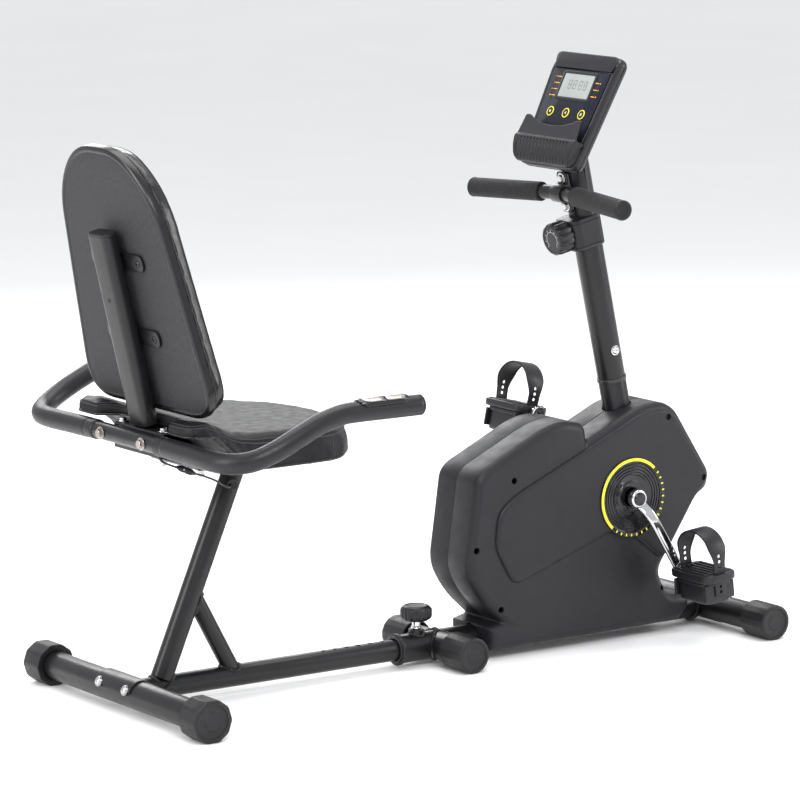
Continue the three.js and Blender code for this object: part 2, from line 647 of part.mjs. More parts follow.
// ---------------------------------------------------------------- rear handlebar
function buildRearHandlebar() {
  const mirrored = HALF_BAR.map(([x, y, z]) => [x, -y, z]).reverse();
  const middle = [[BAR_X, BAR_BARE / 2, BAR_Z], [BAR_X, 0, BAR_Z], [BAR_X, -BAR_BARE / 2, BAR_Z]];
  const curve = curveThrough([...HALF_BAR, ...middle, ...mirrored]);
  const sides = 10;
  piece(carriage, 'rear_handlebar', bend(roundSection(BAR_D / 2, 0, sides), curve, BAR_STEPS), STEEL_PAINT);
  const bore = corner(BAR_D / 2 + GAP, sides) + 0.4;
  const section = roundSection(BAR_COVER_D / 2, bore, sides);
  const bare = Math.ceil((BAR_STEPS * BAR_BARE) / 2 / curve.getLength());
  const stretches = [['left', 0, BAR_STEPS / 2 - bare], ['right', BAR_STEPS / 2 + bare, BAR_STEPS]];
  for (const [word, a, b] of stretches) {
    const sleeve = bend(section, new Stretch(curve, a, b, BAR_STEPS), b - a);
    piece(carriage, `rear_grip_${word}`, sleeve, RUBBER);
  }
  const inner = corner(BAR_COVER_D / 2, 16) + 1.2;
  const oval = roundedRectangle(PULSE_X[1] - PULSE_X[0], PULSE_WIDTH, PULSE_WIDTH / 2);
  const middleX = (PULSE_X[0] + PULSE_X[1]) / 2;
  for (const [word, side] of SIDES) {
    const axis = [[PULSE_X[0], 0, 0], [PULSE_X[1], 0, 0]];
    const shell = pipeBetween(...axis, inner + PULSE_THICK, inner, 16).translate(-middleX, 0, 0);
    const plate = common(shell, plateXY(oval, [inner * 0.4, 2 * inner]));
    piece(carriage, `pulse_plate_${word}`, plate, CHROME, [middleX, side * BAR_HALF, GRIP_Z + 0.5]);
  }
}

// ---------------------------------------------------------------- pulse lead and its plug
function buildLead() {
  const curve = curveThrough(LEAD);
  piece(carriage, 'pulse_lead', bend(roundSection(LEAD_D / 2, 0, 8), curve, LEAD_STEPS), RUBBER);
  const middle = curve.getPointAt(0.2);
  const ahead = curve.getTangentAt(0.2);
  const from = middle.clone().addScaledVector(ahead, -PLUG.length / 2).toArray();
  const to = middle.clone().addScaledVector(ahead, PLUG.length / 2).toArray();
  const half = PLUG.width / 2;
  const body = turned([
    [0, 0], [half * 0.6, 0], [half, 6], [half, PLUG.length - 6], [half * 0.6, PLUG.length],
    [0, PLUG.length],
  ], 10);
  const way = bend(roundSection(LEAD_D / 2 + 0.7, 0, 8), curve, LEAD_STEPS);
  piece(carriage, 'lead_plug', cut(aim(body, from, to), way), PLASTIC);
}

// ---------------------------------------------------------------- mast and what it carries
function buildMastStub() {
  const joint = mastAt(MAST_JOINT_Z);
  const neckTop = mastAt(MAST_JOINT_Z + NECK_LENGTH);
  const shellHalf = SHELL_WIDTH / 2;
  const shellAxis = [[CRANK_X, -shellHalf, CRANK_Z], [CRANK_X, shellHalf, CRANK_Z]];
  const web = rodBetween([CRANK_X, 0, CRANK_Z], mastAt(CRANK_Z), 9, 12);
  const neckR = mastR - WALL - GAP - 0.4;
  const low = mastAt(STRUT_TOP_Z - 20);
  const strut = [[STRUT_X, 0, RAIL_Z], mastAt(STRUT_TOP_Z)];
  const [pinX, pinZ] = MAGNET_PIVOT;
  const bracketX = [pinX - 9, mastAt(pinZ)[0] - 12];
  const bracket = block(bracketX, [BRACKET_Y, BRACKET_Y + SHEET], [pinZ - 9, pinZ + 9]);
  const pin = rodBetween([pinX, BRACKET_Y + 1, pinZ], [pinX, 14, pinZ], MAGNET_PIN_D / 2, 12);
  const outside = join(
    rodBetween(low, joint, mastR), rodBetween(low, neckTop, neckR), rodBetween(...strut, STRUT_D / 2),
    rodBetween(...shellAxis, SHELL_D / 2), web, bracket, pin,
  );
  const across = [[CRANK_X, -shellHalf - 1, CRANK_Z], [CRANK_X, shellHalf + 1, CRANK_Z]];
  const hollow = rodBetween(mastAt(STRUT_TOP_Z), mastAt(MAST_JOINT_Z + NECK_LENGTH + 1), neckR - WALL);
  const strutHollow = rodBetween(...strut, STRUT_D / 2 - WALL);
  const beam = rodBetween([BEAM_START, 0, RAIL_Z], [BEAM_END, 0, RAIL_Z], corner(beamR + GAP));
  const below = block([CRANK_X - 50, CRANK_X + 200], [-50, 50], [-60, RAIL_Z]);
  const stub = cut(outside, hollow, strutHollow, rodBetween(...across, SHELL_D / 2 - 3), beam, below);
  piece(frame, 'mast_stub', stub, STEEL_PAINT);
  const cartridge = pipeBetween(...shellAxis, SHELL_D / 2 - 3 - GAP - 0.2, AXLE_D / 2 + GAP);
  piece(frame, 'crank_bearing', cartridge, BARE_STEEL);
}

function buildMast() {
  const mast = pipeBetween(mastAt(MAST_JOINT_Z + GAP), mastAt(MAST_TOP_Z), mastR, mastR - WALL);
  piece(frame, 'mast', mast, STEEL_PAINT);
  const tension = group(frame, mastAt(TENSION_Z), -MAST_LEAN);
  const { width, depth, low, high } = TENSION;
  const half = width / 2;
  const section = outline([[-depth, -half, 12], [0, -half], [0, half], [-depth, half, 12]]);
  const body = plateXY(section, [low, high]);
  const tube = rodBetween([0, 0, low - 1], [0, 0, high + 1], corner(mastR + GAP));
  const spindleWay = rodBetween([-depth - 1, 0, 0], [0, 0, 0], 5, 12);
  piece(tension, 'tension_housing', cut(body, tube, spindleWay), PLASTIC);
  const face = -depth - GAP - 0.4;
  const knob = plateXY(fluted(TENSION_KNOB.d / 2, 2, 14), [0, TENSION_KNOB.length]);
  const spindle = rodBetween([0, 0, -10], [0, 0, 2], 4.4, 12);
  const turnedKnob = join(knob, spindle).rotateY(-Math.PI / 2);
  piece(tension, 'tension_knob', turnedKnob, PLASTIC, [face, 0, 0]);
}

function buildFrontHandlebar() {
  const bars = group(frame, mastAt(FRONT_BAR_Z), -MAST_LEAN);
  const x = -FRONT_BAR_OFFSET;
  const end = (side) => [x - FRONT_BAR_SWEEP, side * FRONT_BAR_HALF, 0];
  const shoulder = (side) => [x, side * 24, 0];
  const path = new THREE.CurvePath();
  const v = (p) => new THREE.Vector3(...p);
  const share = (side, reach) => reach / length(shoulder(side), end(side));
  const along = (side, reach) => v(shoulder(side)).lerp(v(end(side)), share(side, reach));
  path.add(new THREE.LineCurve3(v(end(-1)), along(-1, 14)));
  path.add(new THREE.QuadraticBezierCurve3(along(-1, 14), v(shoulder(-1)), v([x, -10, 0])));
  path.add(new THREE.LineCurve3(v([x, -10, 0]), v([x, 10, 0])));
  path.add(new THREE.QuadraticBezierCurve3(v([x, 10, 0]), v(shoulder(1)), along(1, 14)));
  path.add(new THREE.LineCurve3(along(1, 14), v(end(1))));
  piece(bars, 'front_handlebar', bend(roundSection(FRONT_BAR_D / 2, 0, 10), path, 24), STEEL_PAINT);
  for (const [word, side] of SIDES) {
    const inner = corner(FRONT_BAR_D / 2 + GAP, 16);
    const from = along(side, FRONT_GRIP_START - 24).toArray();
    const to = along(side, length(shoulder(side), end(side)) + CAP_WALL).toArray();
    const reach = length(from, to);
    const r = FRONT_GRIP_D / 2;
    const profile = [
      [inner, 0], [r - 2, 0], [r, 2], [r, reach - 4], [r - 3, reach], [0, reach],
      [0, reach - CAP_WALL + GAP],
      [inner, reach - CAP_WALL + GAP], [inner, 0],
    ];
    piece(bars, `front_grip_${word}`, aim(turned(profile, 16), from, to), RUBBER);
  }
  const reach = FRONT_BAR_D / 2 + 4;
  const plate = outline([[-15, -38, 8], [15, -38, 8], [15, 38, 8], [-15, 38, 8]]);
  const strap = join(
    plateYZ(plate, [-mastR - 7, -mastR - 1]),
    rodBetween([x, -15, 0], [x, 15, 0], reach),
  );
  const barWay = rodBetween([x, -30, 0], [x, 30, 0], corner(FRONT_BAR_D / 2 + GAP) + 0.8);
  const mastWay = rodBetween([0, 0, -60], [0, 0, 60], corner(mastR + GAP));
  piece(bars, 'handlebar_clamp', cut(strap, barWay, mastWay), STEEL_PAINT);
}

// ---------------------------------------------------------------- console
function buildConsole() {
  const panel = group(frame, [CONSOLE_FOOT[0], 0, CONSOLE_FOOT[1]], CONSOLE_LEAN);
  const { low, high, halfLow, halfHigh, thick, split } = CONSOLE;
  const front = outline([
    [-halfLow, low, 12], [halfLow, low, 12], [halfHigh, high, 10], [-halfHigh, high, 10],
  ]);
  const side = outline([
    [0, low + 4, 6], [split + 8, low, 6], [thick, low + 60, 30], [thick, high - 14, 20], [24, high, 8],
    [10, high, 16], [0, high - 24, 20],
  ]);
  const body = common(plateYZ(front, [0, thick]), plateXZ(side, [-halfHigh, halfHigh]));
  const lcdHalf = LCD.width / 2;
  const mastWay = rodBetween(
    panel.worldToLocal(new THREE.Vector3(...mastAt(MAST_TOP_Z - 200))).toArray(),
    panel.worldToLocal(new THREE.Vector3(...mastAt(MAST_TOP_Z + 4))).toArray(),
    corner(mastR + GAP),
  );
  const pocketHalf = lcdHalf + GAP;
  const pocket = block([-1, LCD.thick + GAP], [-pocketHalf, pocketHalf], [LCD.low - GAP, LCD.high + GAP]);
  const buttonY = [-1, 0, 1].map((k) => k * BUTTON.pitch);
  const well = (y) => rodBetween([-1, y, BUTTON.z], [BUTTON.depth, y, BUTTON.z], BUTTON.r + 0.6);
  const wells = buttonY.map(well);
  const frontHalf = block([-1, split], [-200, 200], [low - 10, high + 10]);
  const backHalf = block([split + GAP, thick + 10], [-200, 200], [low - 10, high + 10]);
  piece(panel, 'console_front', cut(common(body, frontHalf), pocket, ...wells, mastWay), PLASTIC);
  piece(panel, 'console_back', cut(common(body, backHalf), mastWay), PLASTIC);
  const lens = block([0.2, LCD.thick], [-lcdHalf, lcdHalf], [LCD.low, LCD.high]);
  piece(panel, 'lcd_window', lens, [0x8f9694, 0.25]);
  const words = ['right', 'middle', 'left'];
  buttonY.forEach((y, k) => {
    const depth = BUTTON.depth - BUTTON.travel - GAP;
    const cap = turned([[0, 0], [BUTTON.r, 0], [BUTTON.r, depth + 1], [BUTTON.r - 1, depth + BUTTON.proud],
      [0, depth + BUTTON.proud]], 16).rotateZ(Math.PI / 2);
    piece(panel, `button_${words[k]}`, cap, PLASTIC, [depth, y, BUTTON.z]);
  });
  const lipX = -REST_SLOT - REST_WALL;
  const profile = outline([
    [lipX, REST_TOP], [-REST_SLOT, REST_TOP], [-REST_SLOT, REST_FLOOR], [-GAP, REST_FLOOR], [-GAP, low + 6],
    [-9, low + 2, 8], [lipX + 3, low + 24, 14], [lipX - 1, REST_FLOOR - 10, 10],
  ]);
  const face = outline([
    [-halfLow, low, 14], [halfLow, low, 14], [halfLow + 9, REST_FLOOR - 4, 4], [halfLow + 3, REST_FLOOR],
    [halfLow + 1, REST_TOP, 3], [halfLow - 8, REST_TOP - 2, 4], [40, REST_TOP - 15, 30],
    [-40, REST_TOP - 15, 30],
    [-halfLow + 8, REST_TOP - 2, 4], [-halfLow - 1, REST_TOP, 3], [-halfLow - 3, REST_FLOOR],
    [-halfLow - 9, REST_FLOOR - 4, 4],
  ]);
  const rest = common(plateXZ(profile, [-120, 120]), plateYZ(face, [lipX - 5, 0]));
  piece(panel, 'phone_rest', rest, PLASTIC);
}

// ---------------------------------------------------------------- crank and pedals
function buildCrank() {
  const crank = group(frame, [CRANK_X, 0, CRANK_Z], CRANK_ANGLE);
  const armEnd = ARM_START + ARM_THICK / 2;
  piece(crank, 'crank_axle', rodBetween([0, -armEnd, 0], [0, armEnd, 0], AXLE_D / 2), BARE_STEEL);
  const [y0, y1] = PULLEY_Y;
  const r = PULLEY_R;
  const bore = corner(AXLE_D / 2 + GAP);
  const pulley = turned([
    [bore, y0], [24, y0], [30, y0 + 3], [r - 14, y0 + 3], [r - 10, y0], [r, y0], [r, y1], [r - 10, y1],
    [r - 14, y1 - 3], [30, y1 - 3], [24, y1], [bore, y1], [bore, y0],
  ], 24);
  piece(crank, 'drive_pulley', pulley, PLASTIC);
  for (const [word, side] of SIDES) {
    const out = -side; // the right arm points along +X of this group, the left arm along -X
    const at = (x, y) => [out * x, side * y, 0];
    const path = curveThrough([
      at(0, ARM_START), at(14, ARM_START + 1), at(34, ARM_OUT - 4), at(56, ARM_OUT), at(100, ARM_OUT + 1),
      at(CRANK_LENGTH, ARM_OUT + 2),
    ]);
    const bar = bend(roundedRectangle(ARM_WIDTH, ARM_THICK, 4), path, 9);
    const boss = rodBetween(at(0, ARM_START - ARM_THICK / 2), at(0, ARM_START + ARM_THICK / 2 + 2), 17);
    const eyeOut = ARM_OUT + 2 + ARM_THICK / 2;
    const eye = rodBetween(at(CRANK_LENGTH, eyeOut - ARM_THICK), at(CRANK_LENGTH, eyeOut), 14, 18);
    const axleWay = rodBetween(at(0, ARM_START - 20), at(0, armEnd + GAP), corner(AXLE_D / 2 + GAP));
    piece(crank, `crank_arm_${word}`, cut(join(bar, boss, eye), axleWay), CHROME);
    buildPedal(crank, word, side, out * CRANK_LENGTH, eyeOut);
  }
}

function buildPedal(crank, word, side, x, eyeOut) {
  const pedal = group(crank, [x, 0, 0], PEDAL_TILT[word] - CRANK_ANGLE);
  const inner = PEDAL_Y - PEDAL_WIDTH / 2;
  const y = (value) => side * value;
  const span = (a, b) => [Math.min(y(a), y(b)), Math.max(y(a), y(b))];
  const deck = plateXY(roundedRectangle(PEDAL_DEPTH, PEDAL_WIDTH, 16), [-2, PEDAL_PLATE - 2]);
  const weight = plateXY(roundedRectangle(PEDAL_DEPTH - 16, PEDAL_WIDTH - 30, 12), [-PEDAL_BODY_DROP, 0]);
  const spindle = rodBetween([0, y(eyeOut + GAP), 0], [0, y(inner + 10), 0], 8, 14);
  const slots = [-1, 1].map((end) => {
    const slotY = PEDAL_Y + end * (STRAP_HALF + STRAP_THICK / 2);
    const half = STRAP_THICK / 2 + 1;
    return block([-STRAP_WIDTH / 2 - 1, STRAP_WIDTH / 2 + 1], span(slotY - half, slotY + half), [-60, 60]);
  });
  const [deckAt, weightAt] = [deck, weight].map((shape) => shape.translate(0, y(PEDAL_Y), 0));
  const body = cut(join(deckAt, weightAt, spindle), ...slots);
  piece(pedal, `pedal_${word}`, body, PLASTIC);
  const arch = (half, top) => {
    const shape = new THREE.Shape();
    shape.moveTo(-half, -STRAP_TAIL);
    shape.lineTo(-half, 18);
    shape.bezierCurveTo(-half - 8, top * 0.75, -half * 0.6, top, 0, top);
    shape.bezierCurveTo(half * 0.6, top, half + 8, top * 0.75, half, 18);
    shape.lineTo(half, -STRAP_TAIL);
    return shape;
  };
  const outside = arch(STRAP_HALF + STRAP_THICK, STRAP_TOP);
  const inside = arch(STRAP_HALF, STRAP_TOP - STRAP_THICK).getPoints(8).reverse();
  const band = new THREE.Shape([...outside.getPoints(8), ...inside]);
  const strap = plateYZ(band, [-STRAP_WIDTH / 2, STRAP_WIDTH / 2], 8);
  piece(pedal, `pedal_strap_${word}`, strap, RUBBER, [0, y(PEDAL_Y), 0]);
}

// ---------------------------------------------------------------- drive inside the casing
function buildDrive() {
  const { x, z, r, thick, pulleyR, axleD, bore } = FLYWHEEL;
  const wheel = group(frame, [x, 0, z]);
  const half = thick / 2;
  const [p0, p1] = PULLEY_Y;
  const hub = corner(bore / 2);
  const profile = [
    [hub, -half - 4], [18, -half - 4], [22, -half + 5], [r - 24, -half + 5], [r - 20, -half],
    [r, -half], [r, half],
    [r - 20, half], [r - 24, half - 5], [16, half - 5], [16, p0 - 4], [pulleyR + 2, p0 - 2],
    [pulleyR + 2, p0 - 1],
    [pulleyR, p0 - 1], [pulleyR, p1], [hub, p1], [hub, -half - 4],
  ];
  piece(wheel, 'flywheel', turned(profile, 24), BARE_STEEL);
  const [a, b] = FORK_Y;
  const foot = RAIL_Z + beamR + GAP;
  const cheekShape = outline([[-30, foot - z], [30, foot - z], [14, 14, 10], [-14, 14, 10]]);
  const cheek = (y0) => plateXZ(cheekShape, [y0, y0 + FORK_THICK]);
  const base = block([-30, 30], [a - FORK_THICK, b + FORK_THICK], [foot - z, foot - z + FORK_THICK]);
  const axle = rodBetween([0, a - FORK_THICK, 0], [0, b + FORK_THICK, 0], axleD / 2);
  piece(wheel, 'flywheel_fork', join(cheek(a - FORK_THICK), cheek(b), base, axle), STEEL_PAINT);

  // open belt round the two pulleys: tangent points follow from the centre line's slope
  const dx = CRANK_X - x;
  const dz = CRANK_Z - z;
  const reach = Math.hypot(dx, dz);
  const beltLoop = (extra) => {
    const big = PULLEY_R + extra;
    const small = pulleyR + extra;
    const tilt = Math.acos((big - small) / reach);
    const slope = Math.atan2(dz, dx);
    const points = [];
    const arc = (cx, cz, radius, from, to, steps) => {
      for (let k = 0; k <= steps; k += 1) {
        const angle = from + ((to - from) * k) / steps;
        points.push(new THREE.Vector2(cx + radius * Math.cos(angle), cz + radius * Math.sin(angle)));
      }
    };
    arc(dx, dz, big, slope - Math.PI + tilt, slope + Math.PI - tilt, 26);
    arc(0, 0, small, slope + Math.PI - tilt, slope + Math.PI + tilt, 8);
    return points;
  };
  const belt = new THREE.Shape(beltLoop(3.6));
  belt.holes.push(new THREE.Path(beltLoop(1.4)));
  piece(wheel, 'drive_belt', plateXZ(belt, [p0 + 0.5, p1 - 0.5]), RUBBER);

  const pivot = group(frame, [MAGNET_PIVOT[0], 0, MAGNET_PIVOT[1]]);
  const centre = new THREE.Vector2(x - MAGNET_PIVOT[0], z - MAGNET_PIVOT[1]);
  const gapR = r + 4;
  const arcShape = new THREE.Shape();
  arcShape.absarc(centre.x, centre.y, gapR + 8, 0.6, 1.75, false);
  arcShape.absarc(centre.x, centre.y, gapR, 1.75, 0.6, true);
  const shoe = plateXZ(arcShape, [-16, 16], 10);
  const boss = rodBetween([0, -12, 0], [0, 12, 0], 9, 16);
  const arm = plateXZ(outline([[-26, -20], [-10, -32], [8, -2], [-6, 6]]), [-6, 6]);
  const hole = rodBetween([0, -20, 0], [0, 20, 0], corner(MAGNET_PIN_D / 2 + GAP, 12), 12);
  piece(pivot, 'magnet_arm', cut(join(shoe, boss, arm), hole), BARE_STEEL);
}

// ---------------------------------------------------------------- casing
function buildCasing() {
  const bevelled = (points, half, bevel, margin) => {
    const face = outline(inset(points, bevel + margin)).getPoints();
    const edge = outline(inset(points, margin)).getPoints();
    return loftXZ([[-half, face], [bevel - half, edge], [half - bevel, edge], [half, face]]);
  };
  const outside = join(bevelled(CASE_OUTLINE, CASE_HALF, CASE_BEVEL, 0),
    bevelled(PANEL_OUTLINE, CASE_PANEL_HALF, PANEL_BEVEL, 0));
  const inside = bevelled(CASE_OUTLINE, CASE_HALF - CASE_WALL, CASE_BEVEL, CASE_WALL);
  const away = CASE_PANEL_HALF + 10;
  const ways = [
    inside,
    rodBetween([BEAM_START, 0, RAIL_Z], [BEAM_END, 0, RAIL_Z], corner(beamR + CLEAR)),
    block([CRANK_X - 400, CRANK_X + 200], [-beamR - CLEAR, beamR + CLEAR], [0, RAIL_Z]),
    rodBetween(mastAt(300), mastAt(600), corner(mastR + CLEAR)),
    rodBetween([CRANK_X, -away, CRANK_Z], [CRANK_X, away, CRANK_Z], DISH_R - 6, 24),
  ];
  const hollow = cut(outside, ...ways);
  const half = (side) => block([600, 1300], side < 0 ? [-away, -GAP / 2] : [GAP / 2, away], [0, 500]);
  for (const [word, side] of SIDES) {
    piece(frame, `casing_${word}`, common(hollow, half(side)), PLASTIC);
    const face = CASE_PANEL_HALF + GAP;
    const rim = DISH_R - 6 - GAP - 1;
    const dish = turned([
      [DISH_HUB_R, face - 9], [24, face - 9], [rim - 2, face - 3], [rim, face], [DISH_R, face],
      [DISH_R, face + 1.5],
      [rim, face + 2], [rim - 3, face + 1], [50, face], [50, face - 1], [24, face - 3], [24, face - 1],
      [DISH_HUB_R, face - 1], [DISH_HUB_R, face - 9],
    ], 24);
    const cover = piece(frame, `crank_dish_${word}`, dish, PLASTIC, [CRANK_X, 0, CRANK_Z]);
    if (side < 0) cover.rotation.z = Math.PI;
  }
}

// ---------------------------------------------------------------- assembly
buildRearFoot();
buildFrontFoot();
buildBeam();
buildPullPin();
buildRail();
buildPost();
buildSeatFrame();
buildSeatCushion();
buildBackrest();
buildRearHandlebar();
buildLead();
buildMastStub();
buildMast();
buildFrontHandlebar();
buildConsole();
buildCrank();
buildDrive();
buildCasing();

const footprint = new THREE.Box3().setFromObject(bike, true);
bike.position.x = -(footprint.min.x + footprint.max.x) / 2;
bike.updateMatrixWorld(true);

export default bike;
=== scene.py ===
"""Recumbent exercise bike: the visible pieces round its packed frame.

Lengths are in millimetres until a mesh is made. X counts from the rear foot's axis towards the console,
Y to the rider's left and Z from the floor up.
"""

import math

import bpy
import numpy as np
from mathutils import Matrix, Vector
from mathutils.bvhtree import BVHTree


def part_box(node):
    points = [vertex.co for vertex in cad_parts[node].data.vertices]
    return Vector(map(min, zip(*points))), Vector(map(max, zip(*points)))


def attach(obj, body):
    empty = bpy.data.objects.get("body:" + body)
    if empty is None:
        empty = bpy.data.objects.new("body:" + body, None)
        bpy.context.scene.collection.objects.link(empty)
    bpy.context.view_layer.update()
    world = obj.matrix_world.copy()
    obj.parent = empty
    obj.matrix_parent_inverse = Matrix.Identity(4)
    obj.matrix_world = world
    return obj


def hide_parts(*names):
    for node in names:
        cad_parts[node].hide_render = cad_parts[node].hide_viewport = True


bl_info = {
    "name": "Exercise Bike",
    "version": (1, 0, 0),
    "blender": (4, 5, 0),
    "location": "View3D > Sidebar > Exercise Bike",
    "description": "Builds the visible pieces of a recumbent exercise bike round its packed frame",
    "category": "Object",
}

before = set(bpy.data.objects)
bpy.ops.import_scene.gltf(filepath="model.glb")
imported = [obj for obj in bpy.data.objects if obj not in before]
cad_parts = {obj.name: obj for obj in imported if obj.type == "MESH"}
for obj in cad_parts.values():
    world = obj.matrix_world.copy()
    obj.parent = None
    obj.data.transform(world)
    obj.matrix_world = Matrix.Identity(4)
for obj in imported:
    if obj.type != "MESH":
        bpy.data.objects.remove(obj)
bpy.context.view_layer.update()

MM = 0.001
REAR_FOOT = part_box("rear_foot_tube")
START_X = (REAR_FOOT[0].x + REAR_FOOT[1].x) / 2
MAIN = "main_frame"
SEAT = "seat_carriage"
SIDES = (("right", -1), ("left", 1))
FACET = math.radians(38)


# ---------------------------------------------------------------- plane curves
def eased(points, steps=6, closed=True):
    """Polygon whose corners are Bezier arcs.

    Each corner [a, b, reach] gives (1-t)^2 p + 2t(1-t) corner + t^2 q, with p and q that far along
    its two edges.
    """
    at = np.array([p[:2] for p in points], float)
    reach = np.array([p[2] if len(p) > 2 else 0.01 for p in points], float)
    back = np.roll(at, 1, 0) - at
    ahead = np.roll(at, -1, 0) - at
    if not closed:
        back[0] = -ahead[0]
        ahead[-1] = -back[-1]
        reach[[0, -1]] = 0.01
    back_length = np.linalg.norm(back, axis=1)
    ahead_length = np.linalg.norm(ahead, axis=1)
    reach = np.minimum(reach, 0.49 * np.minimum(back_length, ahead_length))[:, None]
    p = at + back / back_length[:, None] * reach
    q = at + ahead / ahead_length[:, None] * reach
    t = np.linspace(0, 1, steps)[None, :, None]
    return ((1 - t) ** 2 * p[:, None] + 2 * t * (1 - t) * at[:, None] + t**2 * q[:, None]).reshape(-1, 2)


def even(curve, count):
    """Closed curve again with its points at equal steps along it."""
    loop = np.vstack([curve, curve[:1]])
    run = np.concatenate([[0], np.cumsum(np.linalg.norm(np.diff(loop, axis=0), axis=1))])
    at = np.linspace(0, run[-1], count, endpoint=False)
    return np.stack([np.interp(at, run, loop[:, k]) for k in range(loop.shape[1])], 1)


def inset(curve, margin):
    """Closed curve moved inwards by the margin, along the normal between its two neighbours."""
    along = np.roll(curve, -1, 0) - np.roll(curve, 1, 0)
    normal = np.stack([along[:, 1], -along[:, 0]], 1) / np.maximum(np.linalg.norm(along, axis=1), 1e-9)[:,
                                                                                                        None]
    turn = np.sum(curve[:, 0] * np.roll(curve[:, 1], -1) - curve[:, 1] * np.roll(curve[:, 0], -1))
    return curve - np.sign(turn) * margin * normal


def stacked(curve, levels):
    """Surface through copies of a closed curve, each (height, margin) moved up and inwards."""
    return skin(np.array([np.column_stack([inset(curve, m), np.full(len(curve), z)]) for z, m in levels]))


def box_outline(width, height, reach, steps=6):
    """Rectangle about the origin with eased corners."""
    a, b = width / 2, height / 2
    return eased([[-a, -b, reach], [a, -b, reach], [a, b, reach], [-a, b, reach]], steps)


def circle(radius, sides):
    """Points radius * (cos, sin) of equal turns."""
    turn = np.linspace(0, 2 * np.pi, sides, endpoint=False)
    return radius * np.stack([np.cos(turn), np.sin(turn)], 1)


def spline(points, count):
    """Catmull-Rom curve: a cubic between each two points, with half the neighbours' span as slope."""
    at = np.asarray(points, float)
    padded = np.vstack([2 * at[0] - at[1], at, 2 * at[-1] - at[-2]])
    u = np.linspace(0, len(at) - 1 - 1e-9, count)
    k = u.astype(int)
    t = (u - k)[:, None]
    a, b, c, d = (padded[k + n] for n in range(4))
    return 0.5 * (2 * b + (c - a) * t + (2 * a - 5 * b + 4 * c - d) * t**2 + (3 * b - a - 3 * c + d) * t**3)


def measured(path):
    """Length of a run of points."""
    return float(np.linalg.norm(np.diff(path, axis=0), axis=1).sum())


# ---------------------------------------------------------------- surfaces: (points, faces) pairs
def skin(rings, ends=True, loop=False):
    """Quads between rings [ring, point, xyz], each ring closed, with a flat face on both ends."""
    rings = np.asarray(rings, float)
    rows, cols = rings.shape[:2]
    i = np.arange(rows if loop else rows - 1)[:, None]
    j = np.arange(cols)[None, :]
    low, high = i * cols, ((i + 1) % rows) * cols
    nxt = (j + 1) % cols
    faces = np.stack([low + j, low + nxt, high + nxt, high + j], -1).reshape(-1, 4).tolist()
    if ends and not loop:
        faces.append(list(range(cols))[::-1])
        faces.append(list(range((rows - 1) * cols, rows * cols)))
    return outward(rings.reshape(-1, 3), faces)


def outward(points, faces):
    """Turns every face round if the signed volume, the sum of a.(b x c) / 6, is below zero."""
    tris = np.array([(f[0], f[k], f[k + 1]) for f in faces for k in range(1, len(f) - 1)])
    a, b, c = (points[tris[:, n]] - points.mean(0) for n in range(3))
    if np.einsum("ij,ij->i", a, np.cross(b, c)).sum() < 0:
        faces = [f[::-1] for f in faces]
    return points, faces


def basis(along, hint=(0, 0, 1)):
    """Three unit vectors, the last one along the given direction."""
    w = np.array(along, float)
    w /= np.linalg.norm(w)
    u = np.cross(hint, w)
    if np.linalg.norm(u) < 1e-6:
        u = np.cross((1, 0, 0), w)
    u /= np.linalg.norm(u)
    return u, np.cross(w, u), w


def turned(profile, origin, along, sides=48, ease=0.0, loop=False, flutes=0, depth=0.0):
    """Surface of revolution: profile (r, h) gives origin + h * w + r * (cos * u + sin * v).

    Flutes make the radius of all but the end rings r - depth * (1 + cos(flutes * turn)) / 2.
    """
    profile = np.array(profile, float)
    if ease:
        profile = eased([[r, h, ease] for r, h in profile], 4, closed=loop)
    profile[:, 0] = np.maximum(profile[:, 0], 0.02)
    u, v, w = basis(along)
    turn = np.linspace(0, 2 * np.pi, sides, endpoint=False)[None, :, None]
    r = profile[:, 0][:, None, None] * np.ones_like(turn)
    if flutes:
        wide = profile[:, 0] > 0.9 * profile[:, 0].max()
        r = r - depth * wide[:, None, None] * (1 + np.cos(flutes * turn)) / 2
    h = profile[:, 1][:, None, None]
    return skin(np.array(origin, float) + h * w + r * (np.cos(turn) * u + np.sin(turn) * v), loop=loop)


def swept(path, section, hint=(0, 0, 1), grow=None, ends=True, loop=False):
    """Section (a, b) carried along a path: point + grow * (a * side + b * up), up being the squared hint."""
    path = np.asarray(path, float)
    if loop:
        along = np.roll(path, -1, 0) - np.roll(path, 1, 0)
    else:
        along = np.gradient(path, axis=0)
    along /= np.linalg.norm(along, axis=1)[:, None]
    side = np.cross(along, np.array(hint, float))
    side /= np.maximum(np.linalg.norm(side, axis=1), 1e-9)[:, None]
    up = np.cross(side, along)
    grow = np.ones(len(path)) if grow is None else np.asarray(grow, float)
    section = np.asarray(section, float)
    a, b = section[:, 0][None, :, None], section[:, 1][None, :, None]
    return skin(path[:, None] + grow[:, None, None] * (a * side[:, None] + b * up[:, None]), ends, loop)


def tube(start, end, radius, sides=40, ease=1.2):
    """Straight round bar with eased ends."""
    start, end = np.array(start, float), np.array(end, float)
    reach = float(np.linalg.norm(end - start))
    return turned([[0, 0], [radius, 0], [radius, reach], [0, reach]], start, end - start, sides, ease)


